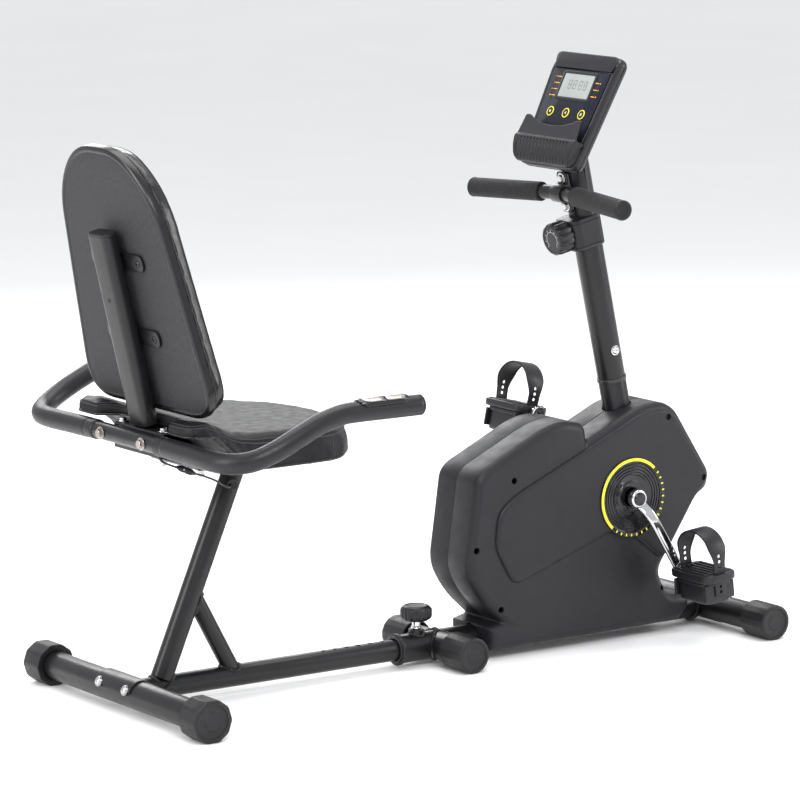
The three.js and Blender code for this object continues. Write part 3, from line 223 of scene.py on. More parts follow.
def slab(curve, low, high, edge=1.0, at=None, dome=0.0, steps=4):
    """Closed curve (b, c) given thickness along a, with its rims rounded by quarter circles.

    Ring k lies edge * (1 - sin) inside the curve at a = edge * (1 - cos) from the face. A dome adds rings
    that shrink towards the middle while the face rises by dome * (1 - s^2).
    """
    turn = np.linspace(0, np.pi / 2, steps)
    margins = edge * (1 - np.sin(turn))
    lifts = edge * (1 - np.cos(turn))
    levels = [(low + lift, margin) for margin, lift in zip(margins, lifts)]
    levels += [(high - lift, margin) for margin, lift in zip(margins[::-1], lifts[::-1])]
    rings = [np.column_stack([np.full(len(curve), a), inset(curve, margin)]) for a, margin in levels]
    if dome:
        rim = rings[-1]
        middle = rim.mean(0)
        for s in (0.85, 0.6, 0.35, 0.12):
            ring = middle + (rim - middle) * s
            ring[:, 0] = high + dome * (1 - s * s)
            rings.append(ring)
    points, faces = skin(rings)
    return (points if at is None else placed_points(points, at)), faces


def frame_at(x, z, turn=0.0, y=0.0):
    """Local axes turned about Y, as (3x3 matrix, origin)."""
    c, s = math.cos(turn), math.sin(turn)
    return np.array([[c, 0, s], [0, 1, 0], [-s, 0, c]]), np.array([x, y, z], float)


def placed_points(points, at):
    """Local points in the bike's own axes."""
    return np.asarray(points, float) @ at[0].T + at[1]


def placed(surfaces, at):
    """Local surfaces in the bike's own axes."""
    return [(placed_points(points, at), faces) for points, faces in surfaces]


def seam_curve(centre, radius, along, wall_point, wall_axis, wall_radius, count=48, far=False):
    """Where a round tube meets a round wall: from each line on the tube, the quadratic's root on the wall."""
    u, v, w = basis(along)
    turn = np.linspace(0, 2 * np.pi, count, endpoint=False)[:, None]
    start = np.array(centre, float) + radius * (np.cos(turn) * u + np.sin(turn) * v)
    axis = np.array(wall_axis, float)
    axis /= np.linalg.norm(axis)
    offset = start - np.array(wall_point, float)
    p = offset - (offset @ axis)[:, None] * axis
    q = w - (w @ axis) * axis
    b = p @ q
    root = np.sqrt(np.maximum(b * b - (q @ q) * ((p * p).sum(1) - wall_radius**2), 0))
    t = (-b + (root if far else -root)) / (q @ q)
    return start + t[:, None] * w


def bead(curve, radius=2.6, ripple=0.35, pitch=3.4):
    """Weld bead: a ring along a closed curve whose radius swells by a ripple at every pitch."""
    run = measured(np.vstack([curve, curve[:1]]))
    count = max(120, int(run * 1.2))
    path = even(curve, count)
    waves = round(run / pitch)
    grow = 1 + ripple * np.sin(2 * np.pi * waves * np.arange(count) / count)
    centre = path.mean(0)
    normal = np.linalg.svd(path - centre)[2][2]
    return swept(path, circle(radius, 8), normal, grow, loop=True)


# ---------------------------------------------------------------- fasteners
WASHER = 1.6


def washer(origin, along, radius, thick=WASHER, bore=0.0):
    """Flat disc with eased rims."""
    return turned([[bore, 0], [radius, 0], [radius, thick], [bore, thick]], origin, along, 40, 0.4)


def hex_head(origin, along, across, height):
    """Hexagon head, whose corners are cut back by a 30 degree cone."""
    u, v, w = basis(along)
    corner = across / math.sqrt(3)
    turn = np.linspace(0, 2 * np.pi, 48, endpoint=False)
    flat = (across / 2) / np.cos((turn + np.pi / 6) % (np.pi / 3) - np.pi / 6)
    levels = [(0, corner), (height * 0.72, corner), (height * 0.9, across * 0.53), (height, across * 0.46)]
    r = np.stack([np.minimum(flat, limit) for _, limit in levels])[..., None]
    h = np.array([level for level, _ in levels])[:, None, None]
    turn = turn[None, :, None]
    return skin(np.array(origin, float) + h * w + r * (np.cos(turn) * u + np.sin(turn) * v))


def dome(origin, along, radius, height, sides=40):
    """Domed head: r = radius * sin, h = height * cos of a quarter turn."""
    turn = np.linspace(np.pi / 2, 0.02, 9)
    profile = [[0, 0]] + [[radius * math.sin(t), 0.4 + height * math.cos(t)] for t in turn]
    return turned(profile, origin, along, sides)


def cap_nut(origin, along, across):
    """Hexagon with a dome on it, over a washer."""
    w = basis(along)[2]
    top = np.array(origin, float) + w * (WASHER + across * 0.45)
    return [
        washer(origin, along, across * 0.78),
        hex_head(np.array(origin, float) + w * WASHER, along, across, across * 0.5),
        dome(top, along, across * 0.45, across * 0.4),
    ]


def hex_bolt(origin, along, across):
    """Hexagon head on a washer."""
    seat = np.array(origin, float) + basis(along)[2] * WASHER
    return [washer(origin, along, across * 0.85), hex_head(seat, along, across, across * 0.42)]


def row_of(make, places, along, size):
    """The same fastener at several places."""
    return [surface for place in places for surface in make(place, along, size)]


def socket_screw(origin, along, radius, height):
    """Button head with a hexagon socket sunk in its top."""
    steps = np.linspace(np.pi / 2, 0.5, 8)
    rim = [[radius * math.sin(t), height * math.cos(t)] for t in steps]
    well = rim[-1][0] * 0.92
    profile = [[0, -1], [radius, -1], *rim, [well, height * 0.86], [well * 0.95, height * 0.2],
               [0, height * 0.2]]
    return turned(profile, origin, along, 36)


# ---------------------------------------------------------------- meshes
def build(name, surfaces, finish, body, stands_for=(), facet=FACET, marks=None):
    """One mesh from several surfaces. Marks gives the finish number of each surface."""
    finishes = finish if isinstance(finish, (list, tuple)) else [finish]
    points, faces, numbers = [], [], []
    count = 0
    for k, (part, part_faces) in enumerate(surfaces):
        points.append(part)
        faces += [[i + count for i in f] for f in part_faces]
        numbers += [marks[k] if marks else 0] * len(part_faces)
        count += len(part)
    row = np.concatenate(points) * MM
    row[:, 0] += START_X
    mesh = bpy.data.meshes.new(name)
    mesh.from_pydata(row, [], faces)
    for material in finishes:
        mesh.materials.append(material)
    mesh.polygons.foreach_set("material_index", np.array(numbers, np.int32))
    mesh.polygons.foreach_set("use_smooth", np.ones(len(faces), bool))
    mesh.update()
    mesh.set_sharp_from_angle(angle=facet)
    piece = bpy.data.objects.new(name, mesh)
    bpy.context.scene.collection.objects.link(piece)
    return dress(piece, body, stands_for)


def dress(piece, body, stands_for=()):
    """What every piece needs: its body, its material slot and the nodes it stands for."""
    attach(piece, body)
    if stands_for:
        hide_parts(*stands_for)
    return piece


def drill(piece, cutters):
    """Takes closed surfaces away from a piece for good."""
    points = np.concatenate([p for p, _ in cutters]) * MM
    points[:, 0] += START_X
    starts = np.cumsum([0] + [len(p) for p, _ in cutters])
    faces = [[i + s for i in f] for s, (_, fs) in zip(starts, cutters) for f in fs]
    mesh = bpy.data.meshes.new("drill")
    mesh.from_pydata(points, [], faces)
    tool = bpy.data.objects.new("drill", mesh)
    bpy.context.scene.collection.objects.link(tool)
    step = piece.modifiers.new("drill", "BOOLEAN")
    step.operation, step.solver, step.object = "DIFFERENCE", "EXACT", tool
    settle(piece)
    bpy.data.objects.remove(tool)
    bpy.data.meshes.remove(mesh)
    piece.data.set_sharp_from_angle(angle=FACET)


def settle(piece):
    """Puts the result of a piece's modifiers into its mesh."""
    bpy.context.view_layer.update()
    seen = piece.evaluated_get(bpy.context.evaluated_depsgraph_get())
    made = bpy.data.meshes.new_from_object(seen)
    piece.modifiers.clear()
    old = piece.data
    piece.data = made
    made.name = piece.name
    bpy.data.meshes.remove(old)


def co_of(mesh):
    """Vertex places as an array."""
    co = np.empty(len(mesh.vertices) * 3, np.float32)
    mesh.vertices.foreach_get("co", co)
    return co.reshape(-1, 3).astype(float)


# ---------------------------------------------------------------- finishes
def finish(name, colour, rough, spread=0.25, patch=18, bumps=(), **sockets):
    """Surface with its own colour drift, roughness drift and grain, all from Object coordinates.

    Each bump is (kind, scale per metre, strength, height in metres), with kind noise, cells or weave.
    """
    material = bpy.data.materials.new(name)
    material.use_nodes = True
    material.diffuse_color = (*colour, 1)
    nodes, links = material.node_tree.nodes, material.node_tree.links
    shader = nodes["Principled BSDF"]
    place = nodes.new("ShaderNodeTexCoord").outputs["Object"]
    cloud = nodes.new("ShaderNodeTexNoise")
    cloud.inputs["Scale"].default_value = patch
    cloud.inputs["Detail"].default_value = 5
    links.new(place, cloud.inputs["Vector"])
    ramp = nodes.new("ShaderNodeValToRGB")
    ramp.color_ramp.elements[0].position, ramp.color_ramp.elements[1].position = 0.3, 0.72
    ramp.color_ramp.elements[0].color = (*(c * (1 - spread) for c in colour), 1)
    ramp.color_ramp.elements[1].color = (*(min(1, c * (1 + spread)) for c in colour), 1)
    links.new(cloud.outputs["Fac"], ramp.inputs["Fac"])
    links.new(ramp.outputs["Color"], shader.inputs["Base Color"])
    fine = nodes.new("ShaderNodeTexNoise")
    fine.inputs["Scale"].default_value = patch * 5
    fine.inputs["Detail"].default_value = 6
    links.new(place, fine.inputs["Vector"])
    span = nodes.new("ShaderNodeMapRange")
    span.inputs["From Min"].default_value, span.inputs["From Max"].default_value = 0.25, 0.75
    span.inputs["To Min"].default_value = max(0.02, rough * 0.82)
    span.inputs["To Max"].default_value = min(1, rough * 1.22)
    links.new(fine.outputs["Fac"], span.inputs["Value"])
    links.new(span.outputs["Result"], shader.inputs["Roughness"])
    last = None
    for kind, scale, strength, height in bumps:
        grain = nodes.new("ShaderNodeTexVoronoi" if kind == "cells" else "ShaderNodeTexNoise")
        grain.inputs["Scale"].default_value = scale
        if kind == "cells":
            grain.feature = "SMOOTH_F1"
            source = grain.outputs["Distance"]
        else:
            grain.inputs["Detail"].default_value = 4
            source = grain.outputs["Fac"]
        links.new(place, grain.inputs["Vector"])
        bump = nodes.new("ShaderNodeBump")
        bump.inputs["Strength"].default_value = strength
        bump.inputs["Distance"].default_value = height
        links.new(source, bump.inputs["Height"])
        if last:
            links.new(last.outputs["Normal"], bump.inputs["Normal"])
        last = bump
    if last:
        links.new(last.outputs["Normal"], shader.inputs["Normal"])
    for socket, value in sockets.items():
        shader.inputs[socket.replace("_", " ").title().replace("Ior", "IOR")].default_value = value
    return material


FINISHES = {}


def look(name):
    """A finish by its name, made once by the finishes operator."""
    return FINISHES[name]


def make_finishes(looks):
    """Every finish of the bike."""
    steel, casing, vinyl = looks.steel_colour, looks.casing_colour, looks.vinyl_colour
    peel = [("noise", 700, 0.10, 0.0002), ("noise", 2600, 0.05, 0.0001)]
    FINISHES.update(
        satin_black=finish("satin_black_paint", steel, 0.34, 0.2, 14, peel, coat_weight=0.12,
                           coat_roughness=0.2,
                           specular_ior_level=0.32),
        weld=finish("painted_weld", steel, 0.4, 0.2, 60, [("noise", 900, 0.3, 0.0004)], coat_weight=0.3),
        casing=finish(
            "casing_fine_texture", casing, 0.46, 0.12, 9,
            [("noise", 2400, 0.28, 0.00022), ("noise", 60, 0.03, 0.0006)], specular_ior_level=0.34,
        ),
        trim=finish("trim_plastic", casing, 0.38, 0.15, 25, [("noise", 1800, 0.12, 0.0001)],
                    specular_ior_level=0.36),
        # Near-black finish that paints the shade inside holes: the dark disc in the post grommet's mouth and
        # the disc standing for the upright's vent.
        recess=finish("recess_plastic", (0.006, 0.006, 0.007), 0.6, 0.2, 30,
                      [("noise", 1500, 0.1, 0.0001)]),
        caps=finish("foot_cap_plastic", (0.009, 0.009, 0.010), 0.45, 0.2, 20,
                    [("noise", 1500, 0.3, 0.0002)],
                    specular_ior_level=0.35),
        vinyl=finish(
            "grained_vinyl", vinyl, 0.48, 0.12, 12,
            [("cells", 620, 0.16, 0.0003), ("noise", 240, 0.12, 0.0005)], specular_ior_level=0.2,
        ),
        smooth_vinyl=finish("smooth_vinyl", vinyl, 0.27, 0.1, 12, [("noise", 300, 0.08, 0.0004)],
                            specular_ior_level=0.42),
        board=finish("pebbled_cover", (0.017, 0.017, 0.019), 0.62, 0.3, 160,
                     [("cells", 900, 0.55, 0.0005), ("noise", 1700, 0.3, 0.0003)]),
        thread=finish("seam_thread", (0.020, 0.020, 0.022), 0.55, 0.3, 200, [("noise", 3000, 0.4, 0.0002)]),
        foam=finish("foam_grip", (0.010, 0.010, 0.011), 0.72, 0.2, 60,
                    [("cells", 1500, 0.35, 0.0003), ("noise", 300, 0.15, 0.0004)], sheen_weight=0.05,
                    specular_ior_level=0.3),
        cover=finish("satin_grip_cover", (0.009, 0.009, 0.011), 0.4, 0.15, 30,
                     [("noise", 900, 0.12, 0.0002)],
                     specular_ior_level=0.36),
        rubber=finish("soft_rubber", (0.008, 0.008, 0.010), 0.42, 0.25, 40, [("noise", 1100, 0.2, 0.0002)],
                      specular_ior_level=0.4),
        chrome=finish("bright_chrome", (0.62, 0.62, 0.64), 0.09, 0.08, 30, [("noise", 40, 0.03, 0.0004)],
                      metallic=1.0),
        zinc=finish("plated_steel", (0.50, 0.50, 0.50), 0.24, 0.15, 80, [("noise", 900, 0.08, 0.0001)],
                    metallic=1.0),
        brass=finish("sensor_plate", (0.40, 0.37, 0.34), 0.3, 0.12, 60, [("noise", 700, 0.06, 0.0001)],
                     metallic=1.0),
        bare=finish("machined_steel", (0.33, 0.33, 0.34), 0.3, 0.15, 50, [("noise", 500, 0.15, 0.0002)],
                    metallic=1.0),
        gloss=finish("gloss_plastic", (0.009, 0.009, 0.011), 0.14, 0.15, 30, [("noise", 80, 0.03, 0.0003)],
                     specular_ior_level=0.45),
        overlay=finish("overlay_print", (0.005, 0.007, 0.016), 0.34, 0.3, 11,
                       [("noise", 120, 0.02, 0.0002)],
                       specular_ior_level=0.22),
        display=finish("display_glass", (0.30, 0.32, 0.31), 0.12, 0.06, 40, [("noise", 60, 0.01, 0.0002)],
                       coat_weight=0.6, coat_roughness=0.05),
        segments=finish("display_segments", (0.11, 0.125, 0.12), 0.3, 0.1, 60,
                        [("noise", 300, 0.02, 0.0001)]),
        yellow=finish("yellow_print", looks.accent_colour, 0.35, 0.12, 60, [("noise", 900, 0.05, 0.0001)]),
        amber=finish("amber_print", looks.amber_colour, 0.4, 0.12, 60, [("noise", 900, 0.05, 0.0001)]),
        pale=finish("pale_print", (0.42, 0.42, 0.42), 0.4, 0.12, 60, [("noise", 900, 0.05, 0.0001)]),
        iron=finish("turned_iron", (0.10, 0.10, 0.11), 0.4, 0.2, 40, [("noise", 500, 0.2, 0.0002)],
                    metallic=0.9),
        floor=finish("pale_floor", (0.95, 0.95, 0.95), 0.8, 0.012, 2, [("noise", 60, 0.02, 0.0005)]),
    )


# ---------------------------------------------------------------- stage
def make_stage(looks):
    """Pale floor that curves up far behind, soft lights and the camera."""
    run = np.linspace(-30, 30, 61)
    rise = np.where(run > 12, (run - 12) ** 2 / 22, 0)
    across = np.linspace(-30, 30, 31)
    grid = np.stack([np.repeat(across[None], 61, 0), np.repeat(run[:, None], 31, 1),
                     np.repeat(rise[:, None], 31, 1)], -1)
    turn = math.radians(looks.view_turn)
    c, s = math.cos(turn), math.sin(turn)
    x, y = grid[..., 0] * c - grid[..., 1] * s, grid[..., 0] * s + grid[..., 1] * c
    mesh = bpy.data.meshes.new("floor")
    i, j = np.arange(60)[:, None] * 31, np.arange(30)[None]
    faces = np.stack([i + j, i + j + 1, i + j + 32, i + j + 31], -1).reshape(-1, 4)
    mesh.from_pydata(np.stack([x, y, grid[..., 2]], -1).reshape(-1, 3), [], faces.tolist())
    mesh.materials.append(look("floor"))
    mesh.polygons.foreach_set("use_smooth", np.ones(len(faces), bool))
    floor = bpy.data.objects.new("floor", mesh)
    bpy.context.scene.collection.objects.link(floor)

    world = bpy.data.worlds.new("studio")
    world.use_nodes = True
    ground = world.node_tree.nodes["Background"]
    ground.inputs["Color"].default_value = (0.97, 0.98, 1.0, 1)
    ground.inputs["Strength"].default_value = looks.fill_light
    bpy.context.scene.world = world
    bpy.context.scene.view_settings.view_transform = "Standard"
    for name, place, aim, size, power in (
        ("key", (-1.9, -3.4, 3.3), (0.0, 0.0, 0.4), (2.4, 1.6), looks.key_light),
        ("side", (-3.6, 0.6, 1.9), (0.0, 0.0, 0.5), (1.2, 2.6), looks.key_light * 0.55),
        ("top", (0.3, 0.5, 3.6), (0.0, 0.0, 0.3), (3.2, 2.2), looks.key_light * 0.7),
        ("front", (3.4, -2.4, 1.7), (0.2, 0.0, 0.4), (1.0, 2.4), looks.key_light * 0.5),
        ("rear", (1.2, 3.6, 2.4), (0.0, 0.0, 0.5), (2.6, 1.2), looks.key_light * 0.5),
    ):
        lamp = bpy.data.lights.new(name, "AREA")
        lamp.shape, lamp.size, lamp.size_y, lamp.energy = "RECTANGLE", *size, power
        source = bpy.data.objects.new(name, lamp)
        bpy.context.scene.collection.objects.link(source)
        source.location = place
        away = np.array(place) - np.array(aim)
        source.rotation_euler = (math.acos(away[2] / np.linalg.norm(away)), 0,
                                 math.atan2(away[1], away[0]) + math.pi / 2)
    aim_camera(looks)


def aim_camera(looks):
    """Camera at its place, turned and tipped by the view's angles."""
    lens = bpy.data.cameras.new("camera")
    lens.lens, lens.sensor_width = looks.lens, 36
    lens.clip_start, lens.clip_end = 0.05, 200
    camera = bpy.data.objects.new("camera", lens)
    bpy.context.scene.collection.objects.link(camera)
    camera.location = (-3.6295 + START_X, -5.9923, 1.7024)
    camera.rotation_euler = (
        math.radians(90 - looks.view_tip), math.radians(looks.view_roll), math.radians(looks.view_turn),
    )
    bpy.context.scene.camera = camera


# ---------------------------------------------------------------- pulse lead
LEAD = (
    (16, -92, 447), (20, -97, 440), (31, -107, 434), (44, -118, 429), (58, -121, 423), (76, -113, 416),
    (94, -101, 410),
    (112, -89, 403), (130, -78, 396), (147, -67, 388), (162, -56, 380), (175, -47, 374), (187, -38, 370),
    (197, -27, 369), (204, -13, 370),
)
LEAD_D = 3.6
PLUG_LENGTH = 36


def make_lead():
    """Round lead from the rear bar into the post, with its two-part connector and a bush at each end."""
    path = spline(LEAD, 90)
    lead = build("pulse_lead_cord", [swept(path, circle(LEAD_D / 2, 16))], look("rubber"), SEAT,
                 ["pulse_lead"])
    run = np.concatenate([[0], np.cumsum(np.linalg.norm(np.diff(path, axis=0), axis=1))])
    share = 0.2 * run[-1]
    middle = np.array([np.interp(share, run, path[:, k]) for k in range(3)])
    ahead = np.array([np.interp(share + 4, run, path[:, k]) for k in range(3)]) - middle
    ahead /= np.linalg.norm(ahead)
    start = middle - ahead * PLUG_LENGTH / 2
    half = 5.4
    body = turned([[0, 0], [2.6, 0], [3.4, 3], [half, 7], [half, 16], [half - 0.8, 16.6],
                   [half - 0.8, 17.6],
                   [half, 18.2], [half, 28], [3.4, 33], [2.6, 36], [0, 36]], start, ahead, 32, 0.4)
    grips = [turned([[half - 0.2, h], [half + 0.35, h + 0.5], [half - 0.2, h + 1]], start, ahead, 32,
                    loop=True)
             for h in (20, 22, 24, 26)]
    side = np.cross(ahead, (0, 0, 1))
    dot = dome(start + ahead * 12 + side * (half - 0.5), side, 1.6, 0.8, 20)
    plug = build("lead_connector", [body, *grips, dot], [look("trim"), look("zinc")], SEAT,
                 ["lead_plug"],
                 marks=[0] * 5 + [1])
    metres = path * MM
    metres[:, 0] += START_X


# ---------------------------------------------------------------- feet and floor beam
RAIL_Z = 32.4
FOOT_R = 25.0
REAR_FOOT_Z = 36.0
FOOT_Z = 32.0


def foot_cap(name, x, z, half, side, flat, depth, corners, body):
    """Moulded end cap: a turned shell whose rim has flats, with a dished disc in its end face."""
    turns = np.linspace(0, 2 * np.pi, 160, endpoint=False)
    cell = 2 * np.pi / corners
    flat_shape = flat / np.cos((turns + cell / 2) % cell - cell / 2)
    softened = np.minimum(flat_shape, flat * (1 + 0.62 * (1 / math.cos(math.pi / corners) - 1)))
    levels = [(-depth, -1.2), (-depth + 1.2, 0), (-depth * 0.5, 0), (-4, 0), (-1.6, -0.6), (-0.4, -2),
              (0, -3.6),
              (0, -flat * 0.20), (-0.5, -flat * 0.215), (-1.8, -flat * 0.23), (-2.2, -flat * 0.26),
              (-2.2, -flat * 0.55),
              (-1.4, -flat * 0.58), (-1.4, -flat * 0.8)]
    rings = []
    for y, margin in levels:
        r = (softened + margin) if margin > -flat * 0.1 else np.full_like(turns, flat + margin)
        rings.append(np.column_stack([x + r * np.sin(turns), np.full_like(turns, side * (half + y)),
                                      z - r * np.cos(turns)]))
    tube_r = FOOT_R + 0.5
    mouth = [np.column_stack([x + r * np.sin(turns), np.full_like(turns, side * (half - depth + d)),
                              z - r * np.cos(turns)]) for r,
                              d in ((tube_r + 1.5, 0), (tube_r, 0.8), (tube_r, 6))]
    shell = skin(np.array(mouth[::-1] + rings))
    build(name + "_moulded", [shell], look("caps"), body, [name],
          facet=math.radians(30))


def make_feet():
    """Rear and front foot tubes with their caps and carriage bolts."""
    rear_end, front_end = 273.7, 212.7
    parts = [tube((0, -rear_end, REAR_FOOT_Z), (0, rear_end, REAR_FOOT_Z), FOOT_R)]
    arc = np.radians(np.linspace(18, 162, 24))
    plate = np.concatenate([
        np.column_stack([np.cos(arc), np.sin(arc)]) * (FOOT_R + 3.2),
        np.column_stack([np.cos(arc), np.sin(arc)])[::-1] * (FOOT_R + 0.4),
    ])
    across = np.array([(0, y, REAR_FOOT_Z) for y in (-56, -55.2, -54, 54, 55.2, 56)], float)
    parts.append(swept(across, plate * (-1, 1), (0, 0, 1), [0.985, 0.995, 1, 1, 0.995, 0.985]))
    build("rear_foot", parts, look("satin_black"), SEAT, ["rear_foot_tube"])
    bolts = []
    for y in (-42, 42):
        lean = math.radians(24)
        along = np.array([-math.cos(lean), 0, math.sin(lean)])
        bolts += [washer(np.array([0, y, REAR_FOOT_Z]) + along * (FOOT_R + 2.6), along, 9.5, 1.4),
                  dome(np.array([0, y, REAR_FOOT_Z]) + along * (FOOT_R + 3.8), along, 8.2, 4.6)]
    build("rear_foot_bolts", bolts, look("zinc"), SEAT)
    front = [tube((1247, -front_end, FOOT_Z), (1247, front_end, FOOT_Z), FOOT_R)]
    build("front_foot", front, look("satin_black"), MAIN, ["front_foot_tube"])
    bolts = []
    for y in (-42, 42):
        along = np.array([0.5, 0, 0.866])
        bolts += [dome(np.array([1247, y, FOOT_Z]) + along * (FOOT_R - 0.4), along, 8.2, 4.6)]
    build("front_foot_bolts", bolts, look("zinc"), MAIN)
    for word, side in SIDES:
        foot_cap("rear_foot_cap_" + word, 0, REAR_FOOT_Z, 279, side, 36, 51, 10, SEAT)
        foot_cap("front_foot_cap_" + word, 1247, FOOT_Z, 218, side, 32, 64, 16, MAIN)
        foot_cap("middle_foot_cap_" + word, 643, FOOT_Z, 121, side, 32, 64, 16, MAIN)


BEAM_R = 25.4
BEAM = (564, 1214)
PIN_X = 602
RAIL_R = 19.05
RAIL_END = 894


def make_beam():
    """Floor beam with the middle foot's stubs, the pin's boss, the front saddle and their weld beads."""
    start, end = BEAM
    beam = turned([[19.6, 0], [BEAM_R, 0], [BEAM_R, end - start], [19.6, end - start]], (start, 0, RAIL_Z),
                  (1, 0, 0),
                  56, 1.0, loop=True)
    flare = [[BEAM_R - 2.4, -2], [BEAM_R, 0], [BEAM_R, 4], [BEAM_R + 1.5, 12], [BEAM_R + 1.5, 18],
             [BEAM_R - 2.4, 18]]
    parts = [beam, turned(flare, (end - 2, 0, RAIL_Z), (1, 0, 0), 56, 1.0, loop=True)]
    arc = np.radians(np.linspace(95, 265, 26))
    saddle = np.concatenate([
        np.column_stack([np.cos(arc), np.sin(arc)]) * (FOOT_R + 3.5),
        np.column_stack([np.cos(arc), np.sin(arc)])[::-1] * (FOOT_R + 0.4),
    ])
    across = np.array([(1247, y, FOOT_Z) for y in (-62, -61.2, -60, 60, 61.2, 62)], float)
    parts.append(swept(across, saddle * (-1, 1), (0, 0, 1), [0.985, 0.995, 1, 1, 0.995, 0.985]))
    for _, side in SIDES:
        parts.append(tube((643, 0, FOOT_Z), (643, side * 115, FOOT_Z), FOOT_R))
    boss = [[7, 20], [13.5, 20], [13.5, 32.6], [7, 32.6]]
    parts.append(turned(boss, (PIN_X, 0, RAIL_Z), (0, 0, 1), 40, 1.0, loop=True))
    welds = [
        bead(seam_curve((643, 150 * side, FOOT_Z), FOOT_R, (0, -side, 0), (600, 0, RAIL_Z), (1, 0, 0),
                        BEAM_R), 3.2)
        for _, side in SIDES
    ]
    welds.append(bead(seam_curve((PIN_X, 0, 120), 13.5, (0, 0, -1), (600, 0, RAIL_Z), (1, 0, 0), BEAM_R),
                      2.4))
    ring = np.column_stack([np.full(60, 1219.0), circle(BEAM_R + 1.5, 60) + (0, RAIL_Z)])
    welds.append(bead(ring, 3.2))
    build("floor_beam_welded", parts + welds, [look("satin_black"), look("weld")], MAIN,
          ["floor_beam"], marks=[0] * len(parts) + [1] * len(welds))
    collar = [[19.6, -8], [26, -8], [28.5, -6.5], [28.5, -1.5], [26.6, -0.4], [19.6, -0.4]]
    lip = [[20.3, -11], [24, -11], [24.6, -8], [20.3, -8]]
    build("rail_bushing_collar", [turned(collar, (start, 0, RAIL_Z), (1, 0, 0), 56, 0.8, loop=True),
                                  turned(lip, (start, 0, RAIL_Z), (1, 0, 0), 56, 0.6, loop=True)],
          look("trim"), MAIN, ["rail_bushing"])


def make_pin():
    """Sprung pull pin in its boss, and its ribbed knob."""
    low, high = 52.1, 96.5
    neck = [[0, low], [4, low], [4, low + 5], [6, low + 7], [6, 66], [9.5, 66], [9.5, 69], [7.5, 70.5],
            [7.5, 79],
            [6, 80], [6, high], [0, high]]
    build("pull_pin_turned", [turned(neck, (PIN_X, 0, 0), (0, 0, 1), 40, 0.6)], look("chrome"), "pull_pin",
          ["pull_pin"])
    top, r = 108.5, 28.5
    skirt = [[8, top - 29], [15, top - 29], [r - 7, top - 27], [r - 1.5, top - 23], [r, top - 18],
             [r, top - 9],
             [r - 1.2, top - 6]]
    crown = [[r - 3, top - 4.6], [r - 3.4, top - 3.8], [r - 6, top - 1.6], [r - 9, top - 0.6],
             [r - 10, top - 1.6],
             [r - 12, top - 2], [0, top - 1.2]]
    knob = turned([*skirt, *crown], (PIN_X, 0, 0), (0, 0, 1), 240, flutes=20, depth=1.6)
    build("pull_knob_moulded", [knob], look("trim"), "pull_pin", ["pull_knob"])


def make_rail():
    """Seat rail, a round tube with its row of holes on top."""
    start = FOOT_R + 0.4
    rail = turned([[17.05, 0], [RAIL_R, 0], [RAIL_R, RAIL_END - start], [17.05, RAIL_END - start]],
                  (start, 0, RAIL_Z), (1, 0, 0), 64, 0.6, loop=True)
    piece = build("seat_rail_tube", [rail], look("satin_black"), SEAT, ["seat_rail"])
    holes = [turned([[0, 0], [4.8, 0], [4.8, 30], [0, 30]], (PIN_X + 25 * k, 0, RAIL_Z), (0, 0, 1), 20)
             for k in range(-8, 5)]
    drill(piece, holes)


# ---------------------------------------------------------------- seat post and frame
POST_LEAN = 0.4306


def post_at(z):
    """Point on the seat post's axis."""
    return np.array([85 + POST_LEAN * (z - 76), 0, z])


def make_post():
    """Leaning post and its brace, the lead's hole with its grommet, and the weld beads."""
    low, high = post_at(RAIL_Z + 14), post_at(411)
    post = tube(low, high, RAIL_R, 56)
    brace_low, brace_high = np.array([214, 0, 43.6]), np.array([134, 0, 189])
    brace = tube(brace_low, brace_high, 15, 44)
    along = high - low
    welds = [
        bead(seam_curve(post_at(150), RAIL_R, -along, (0, 0, RAIL_Z), (1, 0, 0), RAIL_R), 3),
        bead(seam_curve((brace_low + brace_high) / 2, 15, brace_low - brace_high, (0, 0, RAIL_Z),
                        (1, 0, 0), RAIL_R), 3),
        bead(seam_curve((brace_low + brace_high) / 2, 15, brace_high - brace_low, low, along, RAIL_R), 2.8),
    ]
    build("seat_post_welded", [post, brace, *welds], [look("satin_black"), look("weld")], SEAT,
          ["seat_post"], marks=[0, 0] + [1] * len(welds))
    hole = post_at(370)
    out = np.array([-14, -60, 0]) / math.hypot(14, 60)
    rim = [[6, -1.5], [9.4, -1.5], [10.2, 0.6], [9, 1.6], [6.8, 1.2]]
    # The grommet's inner disc is a dark sheet of painted shade where its open hole would be.
    build("post_grommet", [turned(rim, hole + out * (RAIL_R - 0.9), out, 36, 0.4, loop=True),
                           turned([[0, 0], [6.8, 0], [6.8, 0.8], [0, 0.8]], hole + out * (RAIL_R - 0.9),
                                  out, 36)],
          [look("rubber"), look("recess")], SEAT, marks=[0, 1])


